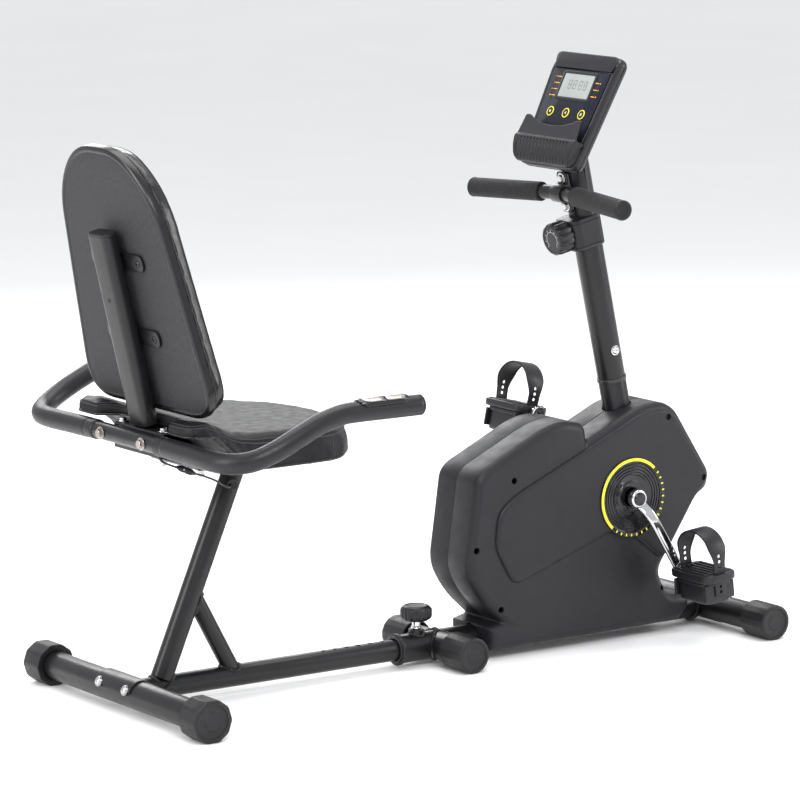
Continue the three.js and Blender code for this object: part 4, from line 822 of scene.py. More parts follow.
def make_seat_frame():
    """Bent sheet under the seat, its cap nuts, and the hexagon bolts of the handlebar and the upright."""
    wall, thick = 30.3, 4
    ramp, deck = 72.3, 106.3
    profile = eased([
        [wall, 440, 1], [wall + thick, 440, 1], [wall + thick, 480, 3], [ramp - 2, 480, 5],
        [deck - 3, 412, 5], [330, 412, 1],
        [330, 416, 1], [deck, 416, 8], [ramp, 484, 8], [wall, 484, 6],
    ], 6)
    rings = [np.column_stack([inset(profile, margin)[:, 0], np.full(len(profile), y),
                              inset(profile, margin)[:, 1]])
             for y, margin in ((-75, 0.8), (-74.2, 0), (74.2, 0), (75, 0.8))]
    build("seat_frame_sheet", [skin(np.array(rings))], look("satin_black"), SEAT,
          ["seat_frame"])
    nuts = row_of(cap_nut, [(x, y, 411.8) for x in (118, 196, 280) for y in (-60, 60)], (0, 0, -1), 13)
    build("seat_cap_nuts", nuts, look("zinc"), SEAT)
    bolts = row_of(hex_bolt, [(13 - 15.2, y, 468) for y in (-65, 65)], (-1, 0, 0), 13)
    build("rear_bar_bolts", bolts, look("brass"), SEAT)
    standing = row_of(hex_bolt, [(42, y, 484) for y in (-65, 65)], (0, 0, 1), 12)
    build("upright_bolts", standing, look("chrome"), SEAT)


# ---------------------------------------------------------------- padding
def nearest_on(piece, points, lift=0.0):
    """Places in millimetres on a piece's skin nearest to the given ones, raised along its normal."""
    tree = BVHTree.FromObject(piece, bpy.context.evaluated_depsgraph_get())
    found = []
    for x, y, z in points:
        place, normal, _, _ = tree.find_nearest(Vector((x * MM + START_X, y * MM, z * MM)))
        place = (place + normal * lift * MM) / MM
        found.append((place.x - START_X / MM, place.y, place.z))
    return np.array(found)


def inflate(piece, hold, cap, pressure=4.0, voxel=5.0, frames=20):
    """Blows a closed piece up as cloth with gravity off and some points held, and caps how far each may move.

    hold(points in mm) says which points stay. The result is put into the mesh and subdivided once.
    """
    step = piece.modifiers.new("remesh", "REMESH")
    step.mode, step.voxel_size, step.use_smooth_shade = "VOXEL", voxel * MM, True
    settle(piece)
    rest = co_of(piece.data)
    place = rest / MM
    place[:, 0] -= START_X / MM
    group = piece.vertex_groups.new(name="held")
    group.add(np.nonzero(hold(place))[0].tolist(), 1.0, "REPLACE")
    cloth = piece.modifiers.new("cloth", "CLOTH")
    cloth.settings.quality = 4
    cloth.settings.mass = 0.3
    cloth.settings.tension_stiffness = cloth.settings.compression_stiffness = 20
    cloth.settings.bending_stiffness = 3
    cloth.settings.use_pressure = True
    cloth.settings.uniform_pressure_force = pressure
    cloth.settings.effector_weights.gravity = 0
    cloth.settings.vertex_group_mass = "held"
    cloth.collision_settings.use_collision = False
    cloth.point_cache.frame_start, cloth.point_cache.frame_end = 1, frames
    for number in range(1, frames + 1):
        bpy.context.scene.frame_set(number)
    settle(piece)
    bpy.context.scene.frame_set(1)
    piece.vertex_groups.clear()
    moved = co_of(piece.data) - rest
    far = np.linalg.norm(moved, axis=1)
    share = np.where(far > cap * MM, cap * MM / np.maximum(far, 1e-9), 1)[:, None]
    piece.data.vertices.foreach_set("co", (rest + moved * share).astype(np.float32).ravel())
    soften = piece.modifiers.new("soften", "SMOOTH")
    soften.factor, soften.iterations = 0.5, 6
    step = piece.modifiers.new("fine", "SUBSURF")
    step.levels = step.render_levels = 1
    settle(piece)
    piece.data.polygons.foreach_set("use_smooth", np.ones(len(piece.data.polygons), bool))
    piece.data.update()


def dent(piece, weight):
    """Moves each point of a piece along its normal by weight(points in mm), in millimetres."""
    mesh = piece.data
    co = co_of(mesh)
    place = co / MM
    place[:, 0] -= START_X / MM
    normals = np.empty(len(co) * 3, np.float32)
    mesh.vertices.foreach_get("normal", normals)
    co += normals.reshape(-1, 3) * weight(place)[:, None] * MM
    mesh.vertices.foreach_set("co", co.astype(np.float32).ravel())
    mesh.update()


SEAT_HALF = 192
SEAT_REAR, SEAT_FRONT, SEAT_CORNER = 14, 430, 316
SEAT_PLAN = [
    [SEAT_REAR, -SEAT_HALF, 50], [SEAT_CORNER, -SEAT_HALF, 44], [SEAT_FRONT - 30, -SEAT_HALF + 95, 70],
    [SEAT_FRONT, 0, 110], [SEAT_FRONT - 30, SEAT_HALF - 95, 70], [SEAT_CORNER, SEAT_HALF, 44],
    [SEAT_REAR, SEAT_HALF, 50],
    [SEAT_REAR, 114, 10], [56, 88, 22], [56, -88, 22], [SEAT_REAR, -114, 10],
]


def seat_low(x):
    """Height of the cushion's lower edge: over the frame's plate behind, down to the deck in front."""
    return np.interp(x, [14, 66, 92, 122, 160, 430], [488, 487, 462, 430, 424, 425])


def seat_high(x):
    """Height of the cushion's top: a raised lip behind, then flat, then falling to the front edge."""
    return np.interp(x, [14, 30, 50, 76, 110, 150, 260, 360, 405, 430],
                     [508, 512, 512, 501, 487, 482, 480, 479, 474, 466])


def seat_shell(curve, levels, shrink):
    """Rings inside the plan: x and y from the inset curve, z by each level's share of the thickness."""
    rings = []
    for margin, share in levels:
        ring = inset(curve, margin)
        low, high = seat_low(ring[:, 0]), seat_high(ring[:, 0])
        rings.append(np.column_stack([ring, low + (high - low) * share]))
    rim = rings[-1][:, :2]
    middle = np.array([[215.0, 0.0]])
    for s in shrink:
        ring = middle + (rim - middle) * s
        rings.append(np.column_stack([ring, seat_high(ring[:, 0])]))
    return rings


def make_seat():
    """Seat cushion, with piping round its foot, a double seam round its top and side seams."""
    curve = even(eased(SEAT_PLAN, 10), 360)
    levels = [(12, 0.0), (3.5, 0.02), (2.5, 0.12), (1.5, 0.45), (2.5, 0.72), (6, 0.9), (13, 0.985),
              (20, 1.0)]
    top = (0.95, 0.85, 0.7, 0.5, 0.3, 0.1)
    rings = seat_shell(curve, levels, top)
    floor = [np.column_stack([215 + (rings[0][:, 0] - 215) * s, rings[0][:, 1] * s,
                              seat_low(215 + (rings[0][:, 0] - 215) * s)]) for s in (0.1, 0.35, 0.6, 0.85)]
    shell = skin(np.array(floor + rings))
    seat = build("seat_cushion_padded", [shell], look("vinyl"), SEAT, ["seat_cushion"])
    inflate(seat, lambda p: p[:, 2] < seat_low(p[:, 0]) + 8, 5)

    def folds(p):
        """Soft wrinkles that run down the side near the rear corners, and a shallow hollow where one sits."""
        side = np.clip((np.abs(p[:, 1]) - 150) / 35, 0, 1)
        rear = np.exp(-(((p[:, 0] - 62) / 60) ** 2))
        wave = np.sin(p[:, 0] * 0.33 + p[:, 2] * 0.16) + 0.6 * np.sin(p[:, 0] * 0.19 - p[:, 2] * 0.3 + 1)
        sit = np.exp(-(((p[:, 0] - 230) / 120) ** 2) - ((np.abs(p[:, 1]) - 70) / 70) ** 2) * (p[:, 2] > 470)
        return side * rear * wave * 0.9 - sit * 2.0

    dent(seat, folds)
    foot = np.column_stack([inset(curve, 3.0), seat_low(inset(curve, 3.0)[:, 0]) + 3])
    path = nearest_on(seat, foot, 0.6)
    piping = swept(path, circle(2.3, 10), (0, 0, 1), loop=True)
    lines = []
    for margin, share, r in ((4.2, 0.83, 0.9), (9.5, 0.95, 0.9)):
        ring = inset(curve, margin)
        low, high = seat_low(ring[:, 0]), seat_high(ring[:, 0])
        lines.append(swept(nearest_on(seat, np.column_stack([ring, low + (high - low) * share]), 0.25),
                           circle(r, 8), (0, 0, 1), loop=True))
    for x in (SEAT_REAR + 58, SEAT_CORNER - 6):
        for _, side in SIDES:
            z = np.linspace(float(seat_low(x)) + 6, float(seat_high(x)) - 8, 20)
            line = np.column_stack([np.full(20, x), np.full(20, side * (SEAT_HALF + 2)), z])
            lines.append(swept(nearest_on(seat, line, 0.2), circle(0.9, 8), (1, 0, 0)))
    build("seat_piping", [piping, *lines], [look("smooth_vinyl"), look("thread")], SEAT,
          marks=[0] + [1] * len(lines))


# ---------------------------------------------------------------- backrest
BACK_TURN = -math.radians(13.5)
BACK_AT = frame_at(33, 538, BACK_TURN)
SHIELD = [[-202, -31, 75], [202, -31, 75], [150, 350, 70], [70, 429, 80], [-70, 429, 80], [-150, 350, 70]]
BOARD = 19.6
BOARD_END = 34.6
PAD_END = 67.9


SHIELD_POINTS = 320


def shield(a, margin):
    """The backrest's outline at one depth, moved inwards."""
    outline = inset(even(eased(SHIELD, 12), SHIELD_POINTS), margin)
    return np.column_stack([np.full(SHIELD_POINTS, a), outline])


def make_backrest():
    """Upright with its cap, two straps with screws, covered board and padded cushion."""
    section = box_outline(30, 60, 20, 8)
    low, high = -50, 284
    post = stacked(section, ((low, 0.8), (low + 0.8, 0), (high - 0.8, 0), (high, 0.8)))
    build("backrest_upright_tube", placed([post], BACK_AT), look("satin_black"), SEAT,
          ["backrest_upright"])
    plug = stacked(section,
                   ((high - 1, 1.5), (high, 0.4), (high + 2.4, 0.2), (high + 3.6, 1.6), (high + 4, 4)))
    build("upright_end_cap", placed([plug], BACK_AT), look("caps"), SEAT)
    # Small dark disc: painted shade standing for the vent hole in the upright.
    build("upright_vent_shade", placed([turned([[0, 0], [3.2, 0], [3.2, 0.5], [2.6, 0.5], [2.4, 0.2], [0, 0.2]],
                                         (-15.1, 0, 172), (-1, 0, 0), 28)], BACK_AT), look("recess"), SEAT)
    strap = box_outline(164, 30, 22, 8)
    screws = []
    for word, z in (("lower", 102), ("upper", 234)):
        made = slab(strap + (0, z), 15.3, 19.3, 0.9)
        build(f"backrest_strap_{word}_bar", placed([made], BACK_AT), look("satin_black"), SEAT,
              [f"backrest_strap_{word}"])
        for y in (-68, 68):
            screws.append(socket_screw((15.4, y, z), (-1, 0, 0), 6, 3.4))
    build("backrest_screws", placed(screws, BACK_AT), look("gloss"), SEAT)
    rim = [(BOARD_END, 1.2), (BOARD_END - 1, 0.2), (BOARD + 7, 0), (BOARD + 3, 1), (BOARD + 0.8, 4),
           (BOARD, 7.5),
           (BOARD + 0.7, 10.5), (BOARD + 2.2, 12), (BOARD + 2.4, 12.6)]
    field = [(BOARD + 2.4, 12.2), (BOARD + 1.4, 13), (BOARD + 1.1, 14.5)]
    border = skin(np.array([shield(a, m) for a, m in rim]))
    centre = [shield(a, m) for a, m in [(BOARD + 6, 12.2), *field]]
    middle = np.array([0.0, 180.0])
    for s in (0.9, 0.6, 0.3, 0.08):
        ring = middle + (centre[3][:, 1:] - middle) * s
        centre.append(np.column_stack([np.full(SHIELD_POINTS, BOARD + 1.1 - 0.5 * (1 - s * s)), ring]))
    build("backrest_board_cover", placed([border, skin(np.array(centre))], BACK_AT),
          [look("smooth_vinyl"), look("board")],
          SEAT, ["backrest_board"], marks=[0, 1])
    line = shield(BOARD + 2.0, 12.3)
    build("backrest_board_seam", placed([swept(line, circle(0.9, 8), (1, 0, 0), loop=True)], BACK_AT),
          look("thread"),
          SEAT)

    levels = [(BOARD_END + 0.6, 8), (BOARD_END + 0.8, 4), (BOARD_END + 6, 3), (BOARD_END + 16, 3.5),
              (PAD_END - 9, 6),
              (PAD_END - 4, 12), (PAD_END - 2, 20)]
    rings = [shield(a, m) for a, m in levels]
    for s in (0.92, 0.78, 0.6, 0.42, 0.24, 0.08):
        ring = middle + (rings[6][:, 1:] - middle) * s
        rings.append(np.column_stack([np.full(SHIELD_POINTS, PAD_END - 3 - 2 * s), ring]))
    back = [np.column_stack([np.full(SHIELD_POINTS, BOARD_END + 0.6),
                             middle + (rings[0][:, 1:] - middle) * s])
            for s in (0.08, 0.4, 0.7, 0.9)]
    cushion = build("backrest_cushion_padded", placed([skin(np.array(back + rings))], BACK_AT),
                    look("smooth_vinyl"), SEAT,
                    ["backrest_cushion"])

    def against_board(p):
        local = (p - BACK_AT[1]) @ BACK_AT[0]
        return local[:, 0] < BOARD_END + 4

    inflate(cushion, against_board, 4)
    edge = placed_points(shield(BOARD_END + 2, 2.5), BACK_AT)
    seam = placed_points(shield(PAD_END - 7, 8), BACK_AT)
    forward = BACK_AT[0] @ np.array([1.0, 0, 0])
    build("backrest_piping", [swept(nearest_on(cushion, edge, 0.5), circle(2.2, 10), forward, loop=True),
                              swept(nearest_on(cushion, seam, 0.2), circle(0.9, 8), forward, loop=True)],
          [look("smooth_vinyl"), look("thread")], SEAT, marks=[0, 1])


# ---------------------------------------------------------------- rear handlebar
BAR_HALF = 350
GRIP_Z = 538
GRIP_END = 362
HALF_BAR = (
    (GRIP_END, BAR_HALF, GRIP_Z), (300, BAR_HALF, GRIP_Z), (238, BAR_HALF, GRIP_Z), (205, BAR_HALF, 536),
    (165, BAR_HALF, 526), (120, BAR_HALF, 507), (80, BAR_HALF - 4, 488), (46, BAR_HALF - 18, 473),
    (23, BAR_HALF - 45, 467), (13, BAR_HALF - 86, 466), (13, BAR_HALF - 170, 467), (13, 83, 468),
    (13, 0, 468),
)
GRIP_R = 17.5
POD_X, POD_REACH = 286, 50


def make_rear_bar():
    """Bent bar behind the seat, its two covers, the pulse pods on its grips and their plates."""
    left = spline(HALF_BAR, 220)
    right = left[::-1][1:] * (1, -1, 1)
    path = np.vstack([left, right])
    build("rear_bar_bent", [swept(path, circle(15, 36))], look("satin_black"), SEAT,
          ["rear_handlebar"])
    run = np.concatenate([[0], np.cumsum(np.linalg.norm(np.diff(left, axis=0), axis=1))])
    cover_end = run[-1] - 96
    for word, side in SIDES:
        t = np.linspace(0, cover_end, 170)
        line = np.stack([np.interp(t, run, left[:, k]) for k in range(3)], 1) * (1, side, 1)
        grow = np.interp(t,
                         [0, 2, 5, cover_end - 30, cover_end - 28, cover_end - 26, cover_end - 22,
                          cover_end - 20,
                             cover_end - 3, cover_end],
                             [0.9, 0.97, 1, 1, 0.985, 0.93, 0.93, 0.985, 0.985, 0.9])
        cover = swept(line, circle(GRIP_R, 36), grow=grow)
        end = turned([[0, -1], [16.2, -1], [17.4, 0.5], [17.4, 2.5], [16, 4], [12, 4.2], [11.4, 3.6],
                      [0, 3.4]],
                     (GRIP_END - 1.6, side * BAR_HALF, GRIP_Z), (1, 0, 0), 40, 0.4)
        build(f"rear_grip_{word}_cover", [cover, end], [look("cover"), look("caps")], SEAT,
              [f"rear_grip_{word}"], marks=[0, 1])
        make_pulse_pod(word, side)


def make_pulse_pod(word, side):
    """Oval bezel wrapped over the grip, and two metal plates parted by a band."""
    def wrapped(outline, middle, levels):
        """Flat pattern (along, round) mapped round the grip, shrunk and raised at each level."""
        rings = []
        for share, lift in levels:
            flat = middle + (outline - middle) * share
            r, angle = GRIP_R + lift, flat[:, 1] / 18
            rings.append(np.column_stack([POD_X + flat[:, 0], side * BAR_HALF + r * np.sin(angle),
                                          GRIP_Z + r * np.cos(angle)]))
        return skin(np.array(rings))

    oval = even(box_outline(2 * POD_REACH, 38, 18, 12), 96)
    bezel = wrapped(oval, np.zeros(2), ((1, -1), (1, 3 * 0.6), (0.965, 3), (0.7, 3), (0.4, 3), (0.1, 3)))
    plates = []
    plate_end = POD_REACH - 7
    for k in (-1, 1):
        corners = [[3 * k, -12.5, 3], [3 * k, 12.5, 3], [plate_end * k, 12.5, 14],
                   [plate_end * k, -12.5, 14]]
        plates.append(wrapped(even(eased(corners, 8), 72), np.array([25 * k, 0.0]),
                              ((1, 2.0), (1, 4.2), (0.93, 4.9), (0.6, 5.1), (0.3, 5.1), (0.08, 5.1))))
    build(f"pulse_pod_{word}", [bezel], look("gloss"), SEAT)
    build(f"pulse_plates_{word}", plates, look("brass"), SEAT, [f"pulse_plate_{word}"])


# ---------------------------------------------------------------- casing
CRANK = (1030, 265)
CASE = [
    [749, 67, 8], [720, 60, 2], [722, 18, 4], [1150, 21, 8], [1173, 46, 6], [1172, 68, 6], [1124, 72, 20],
    [1100, 120, 20], [1187, 248, 12], [1212, 262, 10], [1219, 290, 14], [1137, 415, 26], [1108, 431, 20],
    [1050, 428, 30], [936, 376, 8], [930, 408, 14], [880, 418, 24], [838, 408, 24], [704, 346, 28],
    [690, 330, 16],
    [667, 168, 26], [700, 112, 30],
]
PANEL = [
    [768, 132, 22], [1010, 214, 2], [1104, 140, 20], [1178, 250, 12], [1200, 268, 12], [1207, 290, 14],
    [1128, 410, 26], [1104, 420, 20], [1052, 417, 30], [930, 364, 20], [770, 296, 30], [733, 268, 20],
    [727, 205, 20],
]


def inset_corners(points, margin):
    """Corners moved inwards along their bisectors, by margin over the cosine of half the turn."""
    at = np.array([p[:2] for p in points], float)
    back = at - np.roll(at, 1, 0)
    ahead = np.roll(at, -1, 0) - at
    back /= np.linalg.norm(back, axis=1)[:, None]
    ahead /= np.linalg.norm(ahead, axis=1)[:, None]
    inward = np.stack([-back[:, 1] - ahead[:, 1], back[:, 0] + ahead[:, 0]], 1)
    inward /= np.linalg.norm(inward, axis=1)[:, None]
    share = inward[:, 0] * -back[:, 1] + inward[:, 1] * back[:, 0]
    moved = at + inward * (margin / np.maximum(0.4, share))[:, None]
    return [[a, b, p[2]] for (a, b), p in zip(moved, points)]


def case_ring(points, margin, y, side):
    """An inset outline in X and Z at one Y."""
    curve = eased(inset_corners(points, margin), 7)
    return np.column_stack([curve[:, 0], np.full(len(curve), side * y), curve[:, 1]])


def make_casing():
    """Two moulded halves with a raised panel, a centre joint and sunk screw holes."""
    for word, side in SIDES:
        inner = [(61, 16), (50, 3.2), (1.2, 3.2), (0.2, 3.2)]
        outer = [(0.2, 1.0), (0.9, 0.2), (1.4, 0), (50, 0), (53.5, 0.6), (57, 2.6), (60.4, 6), (62.6, 9.6),
                 (63.8, 13.4),
                 (64, 16)]
        rings = [case_ring(CASE, m, y, side) for y, m in inner + outer]
        half = build(f"casing_{word}_moulded", [skin(np.array(rings))], look("casing"), MAIN,
                     [f"casing_{word}"], facet=math.radians(24))
        steps = [(60, 2), (64, 0), (65.4, 0.2), (67.4, 1.4), (69, 3.4), (69.8, 5.6), (70, 8)]
        panel = build(f"casing_{word}_panel",
                      [skin(np.array([case_ring(PANEL, m, y, side) for y, m in steps]))],
                      look("casing"), MAIN, facet=math.radians(24))
        dish = turned([[0, -40], [68.5, -40], [68.5, 30], [0, 30]], (CRANK[0], side * 60, CRANK[1]),
                      (0, side, 0), 96)
        low, high = mast_at(330), mast_at(600)
        ways = [dish, turned([[0, 0], [27.2, 0], [27.2, 700], [0, 700]], (560, 0, RAIL_Z), (1, 0, 0), 64),
                turned([[0, 0], [27.2, 0], [27.2, 270], [0, 270]], low, high - low, 64)]
        drill(half, ways)
        holes = [(770, 322, 64), (688, 205, 64), (742, 92, 64), (1108, 88, 64), (1196, 284, 70),
                 (1112, 404, 70)]
        sunk = [turned([[0, 0], [5.2, 0], [5.2, 14], [6.4, 16.5], [6.4, 24], [0, 24]],
                       (x, side * (y - 16), z),
                       (0, side, 0), 28) for x, z, y in holes]
        drill(half, sunk[:4])
        drill(panel, [dish])
        drill(panel, sunk[4:])
        heads = [socket_screw((x, side * (y - 15), z), (0, side, 0), 4.4, 2.4) for x, z, y in holes]
        build(f"casing_{word}_screws", heads, look("zinc"), MAIN)
        make_dish(word, side)


def make_dish(word, side):
    """Round cover under the crank arm: concentric steps, with a coloured line round half of its rim."""
    face = 70.3
    grooves = []
    for middle in (61, 55.5, 50, 44.5):
        grooves += [[middle + 1.7, face + 0.6], [middle + 1.1, face - 1.5], [middle - 1.1, face - 1.5],
                    [middle - 1.7, face + 0.6]]
    profile = [
        [17, face - 12], [24, face - 12], [60, face - 4], [66.5, face - 1], [66.5, face], [73, face],
        [73, face + 1.4],
        [72, face + 2.2], [65.6, face + 2.2], [64.8, face + 0.9], *grooves, [40, face - 0.4],
        [31, face - 2.2],
        [29.5, face - 0.8], [27, face - 0.6], [18.5, face - 1.2], [17, face - 2.4],
    ]
    plate = turned(profile, (CRANK[0], 0, CRANK[1]), (0, side, 0), 120, 0.5, loop=True)
    turn = np.radians(np.linspace(46, 228, 120))
    height = side * (face + 2.25)

    def ringed(radius, angle):
        spot = [CRANK[0] + radius * np.cos(angle), np.full(np.shape(angle), height),
                CRANK[1] + radius * np.sin(angle)]
        return np.stack(spot, -1)

    band = swept(ringed(68.8, turn), box_outline(5.4, 0.5, 0.2, 3), (0, 1, 0))
    ticks = [swept(ringed(np.array([66.6, 68.9, 71.2]), np.full(3, angle)), box_outline(2.6, 0.5, 0.2, 3),
                   (0, 1, 0))
             for angle in np.radians(np.linspace(238, 396, 17))]
    build(f"crank_dish_{word}_cover", [plate, band, *ticks], [look("gloss"), look("yellow")], MAIN,
          [f"crank_dish_{word}"], marks=[0] + [1] * (1 + len(ticks)), facet=math.radians(30))


# ---------------------------------------------------------------- cranks and pedals
CRANK_TURN = math.radians(58.5)
CRANK_LENGTH = 160
ARM_START, ARM_OUT = 84, 102
PEDAL_Y = 172
PEDAL_TURN = {"right": math.radians(-6), "left": math.radians(12)}


def make_cranks():
    """Bent plated arms with their bosses and nuts, on the crank's own axes."""
    at = frame_at(CRANK[0], CRANK[1], CRANK_TURN)
    for word, side in SIDES:
        out = -side
        path = spline([(0, ARM_START, 0), (14, ARM_START + 1, 0), (34, ARM_OUT - 4, 0), (56, ARM_OUT, 0),
                       (100, ARM_OUT + 1, 0), (CRANK_LENGTH, ARM_OUT + 2, 0)], 60) * (out, side, 1)
        grow = np.interp(np.linspace(0, 1, 60), [0, 0.3, 1], [1.08, 1.0, 0.94])
        bar = swept(path, box_outline(10, 20, 6, 6), (0, 0, 1), grow)
        boss = turned([[8.4, -5], [17, -5], [17, 6], [15.5, 8], [8.4, 8]], (0, side * ARM_START, 0),
                      (0, side, 0), 48, 1,
                      loop=True)
        eye = turned([[7, 0], [13.6, 0], [13.6, 10], [7, 10]],
                     (out * CRANK_LENGTH, side * (ARM_OUT - 3), 0),
                     (0, side, 0), 48, 1, loop=True)
        build(f"crank_arm_{word}_forged", placed([bar, boss, eye], at), look("chrome"), "crank",
              [f"crank_arm_{word}"])
        nut = hex_head((0, side * (ARM_START + 4), 0), (0, side, 0), 15, 7)
        cap = turned([[0, 7.5], [11.5, 7.5], [12.4, 8.4], [12.4, 9.6], [11, 10.8], [0, 11.2]],
                     (0, side * ARM_START, 0),
                     (0, side, 0), 48, 0.4)
        build(f"crank_cap_{word}", placed([nut, cap], at), look("gloss"), "crank")
        make_pedal(word, side, out)


def strap_line(half, top, count=26):
    """Arch in Y and Z: two straight legs and two cubic Bezier quarters."""
    t = np.linspace(0, 1, count)[:, None]
    p = [np.array(q, float) for q in ((-half, 18), (-half - 8, top * 0.75), (-half * 0.6, top), (0, top))]
    quarter = (1 - t) ** 3 * p[0] + 3 * (1 - t) ** 2 * t * p[1] + 3 * (1 - t) * t**2 * p[2] + t**3 * p[3]
    leg = np.column_stack([np.full(10, -half), np.linspace(-29, 16, 10)])
    run = np.vstack([leg, quarter])
    return np.vstack([run, (run[:-1] * (-1, 1))[::-1]])


def make_pedal(word, side, out):
    """Pedal body with its tread and weight, the spindle, and the strap over it."""
    c, s = math.cos(CRANK_TURN), math.sin(CRANK_TURN)
    at = frame_at(CRANK[0] + out * CRANK_LENGTH * c, CRANK[1] - out * CRANK_LENGTH * s, PEDAL_TURN[word],
                  side * PEDAL_Y)

    def plate(width, depth, reach, low, high, edge, y=0.0, x=0.0):
        flat = slab(box_outline(depth, width, reach) + (x, y), low, high, edge)
        return np.column_stack([flat[0][:, 1], flat[0][:, 2], flat[0][:, 0]]), flat[1]

    body = [plate(116, 72, 22, -2, 12, 3), plate(86, 56, 16, -44, 0, 5), plate(96, 62, 18, -10, -2, 2)]
    body += [plate(80, 3.6, 1.6, 11, 14, 1.2, x=x) for x in (-26, -15.6, -5.2, 5.2, 15.6, 26)]
    body += [plate(4, 62, 1.6, 11, 14, 1.2, y=y) for y in (-41, 41)]
    body += [plate(5, 66, 2, -38, -6, 1.6, y=y) for y in (-43, 43)]
    body = [outward(points, faces) for points, faces in body]
    spindle = turned([[0, 0], [7.6, 0], [7.6, 4], [5.2, 6], [5.2, 14], [8.6, 15], [8.6, 24], [0, 24]],
                     (0, -side * (PEDAL_Y - 107.4), 0), (0, side, 0), 36, 0.5)
    build(f"pedal_{word}_body", placed([*body, spindle], at), [look("trim"), look("zinc")], f"pedal_{word}",
          [f"pedal_{word}"], marks=[0] * len(body) + [1])
    run = strap_line(47.6, 86.2)
    path = np.column_stack([np.zeros(len(run)), run])
    width, thick = 38, 2.6
    rim = [[-thick / 2, -width / 2], [thick / 2 + 0.8, -width / 2], [thick / 2 + 0.8, -width / 2 + 3],
           [thick / 2, -width / 2 + 4], [thick / 2, width / 2 - 4], [thick / 2 + 0.8, width / 2 - 3],
           [thick / 2 + 0.8, width / 2], [-thick / 2, width / 2]]
    section = eased([[a, b, 0.5] for a, b in rim], 3)
    taper = np.interp(run[:, 1], [-30, 34, 58], [0.62, 0.66, 1.0])
    band = build(f"pedal_strap_{word}_moulded", placed([swept(path, section, (1, 0, 0), taper)], at),
                 look("rubber"),
                 f"pedal_{word}", [f"pedal_strap_{word}"])
    slots = [turned([[0, -14], [3, -14], [3, 14], [0, 14]], (0, end * 49, z), (0, 1, 0), 20)
             for end in (-1, 1) for z in (-22, -12, 24, 34, 44)]
    drill(band, placed(slots, at))


# ---------------------------------------------------------------- mast and what it carries
MAST_TURN = -math.radians(12.5)
MAST_R = 25.4
MAST_BOLT_Z = 528


def mast_at(z):
    """Point on the mast's axis."""
    return np.array([1044 - math.tan(-MAST_TURN) * (z - 433), 0, z])


def make_mast():
    """Lower tube with its strut, the mast, its joint ring and bolts."""
    joint = mast_at(474)
    low = mast_at(205)
    stub = tube(low, joint, MAST_R, 56)
    strut = tube((1048, 0, 52), mast_at(225), 22, 44)
    shell = turned([[17, -34], [20, -34], [20, 34], [17, 34]], (CRANK[0], 0, CRANK[1]), (0, 1, 0), 48, 0.6,
                   loop=True)
    neck = tube(joint, mast_at(564), MAST_R - 2.6, 40)
    bracket = slab(eased([[-9, -9, 3], [60, -9, 3], [60, 9, 3], [-9, 9, 3]]), -18, -14, 0.6)
    bracket = (np.column_stack([880 + bracket[0][:, 1] * 2.1, bracket[0][:, 0], 345 + bracket[0][:, 2]]),
               bracket[1])
    pin = tube((880, -17, 345), (880, 14, 345), 3, 24, 0.4)
    build("mast_stub_welded", [stub, strut, shell, neck, outward(*bracket), pin], look("satin_black"), MAIN,
          ["mast_stub"])
    axis = mast_at(925) - joint
    length = float(np.linalg.norm(axis))
    mast = turned([[23.4, 0.3], [MAST_R, 0.3], [MAST_R, length], [23.4, length]], joint, axis, 56, 0.8,
                  loop=True)
    build("mast_tube", [mast], look("satin_black"), MAIN, ["mast"])
    ring = turned([[MAST_R - 1, -4], [MAST_R + 1.6, -4], [MAST_R + 1.6, 3.4], [MAST_R - 1, 3.4]], joint,
                  axis, 56, 1,
                  loop=True)
    build("mast_joint_ring", [ring], look("weld"), MAIN)
    bolts = []
    for y in (-1, 1):
        side = np.array([0.0, y, 0.0])
        centre = mast_at(MAST_BOLT_Z) + side * (MAST_R - 0.8)
        bolts += [washer(centre, side, 9, 1.6), socket_screw(centre + side * 1.8, side, 7, 5)]
    build("mast_bolts", bolts, look("chrome"), MAIN)


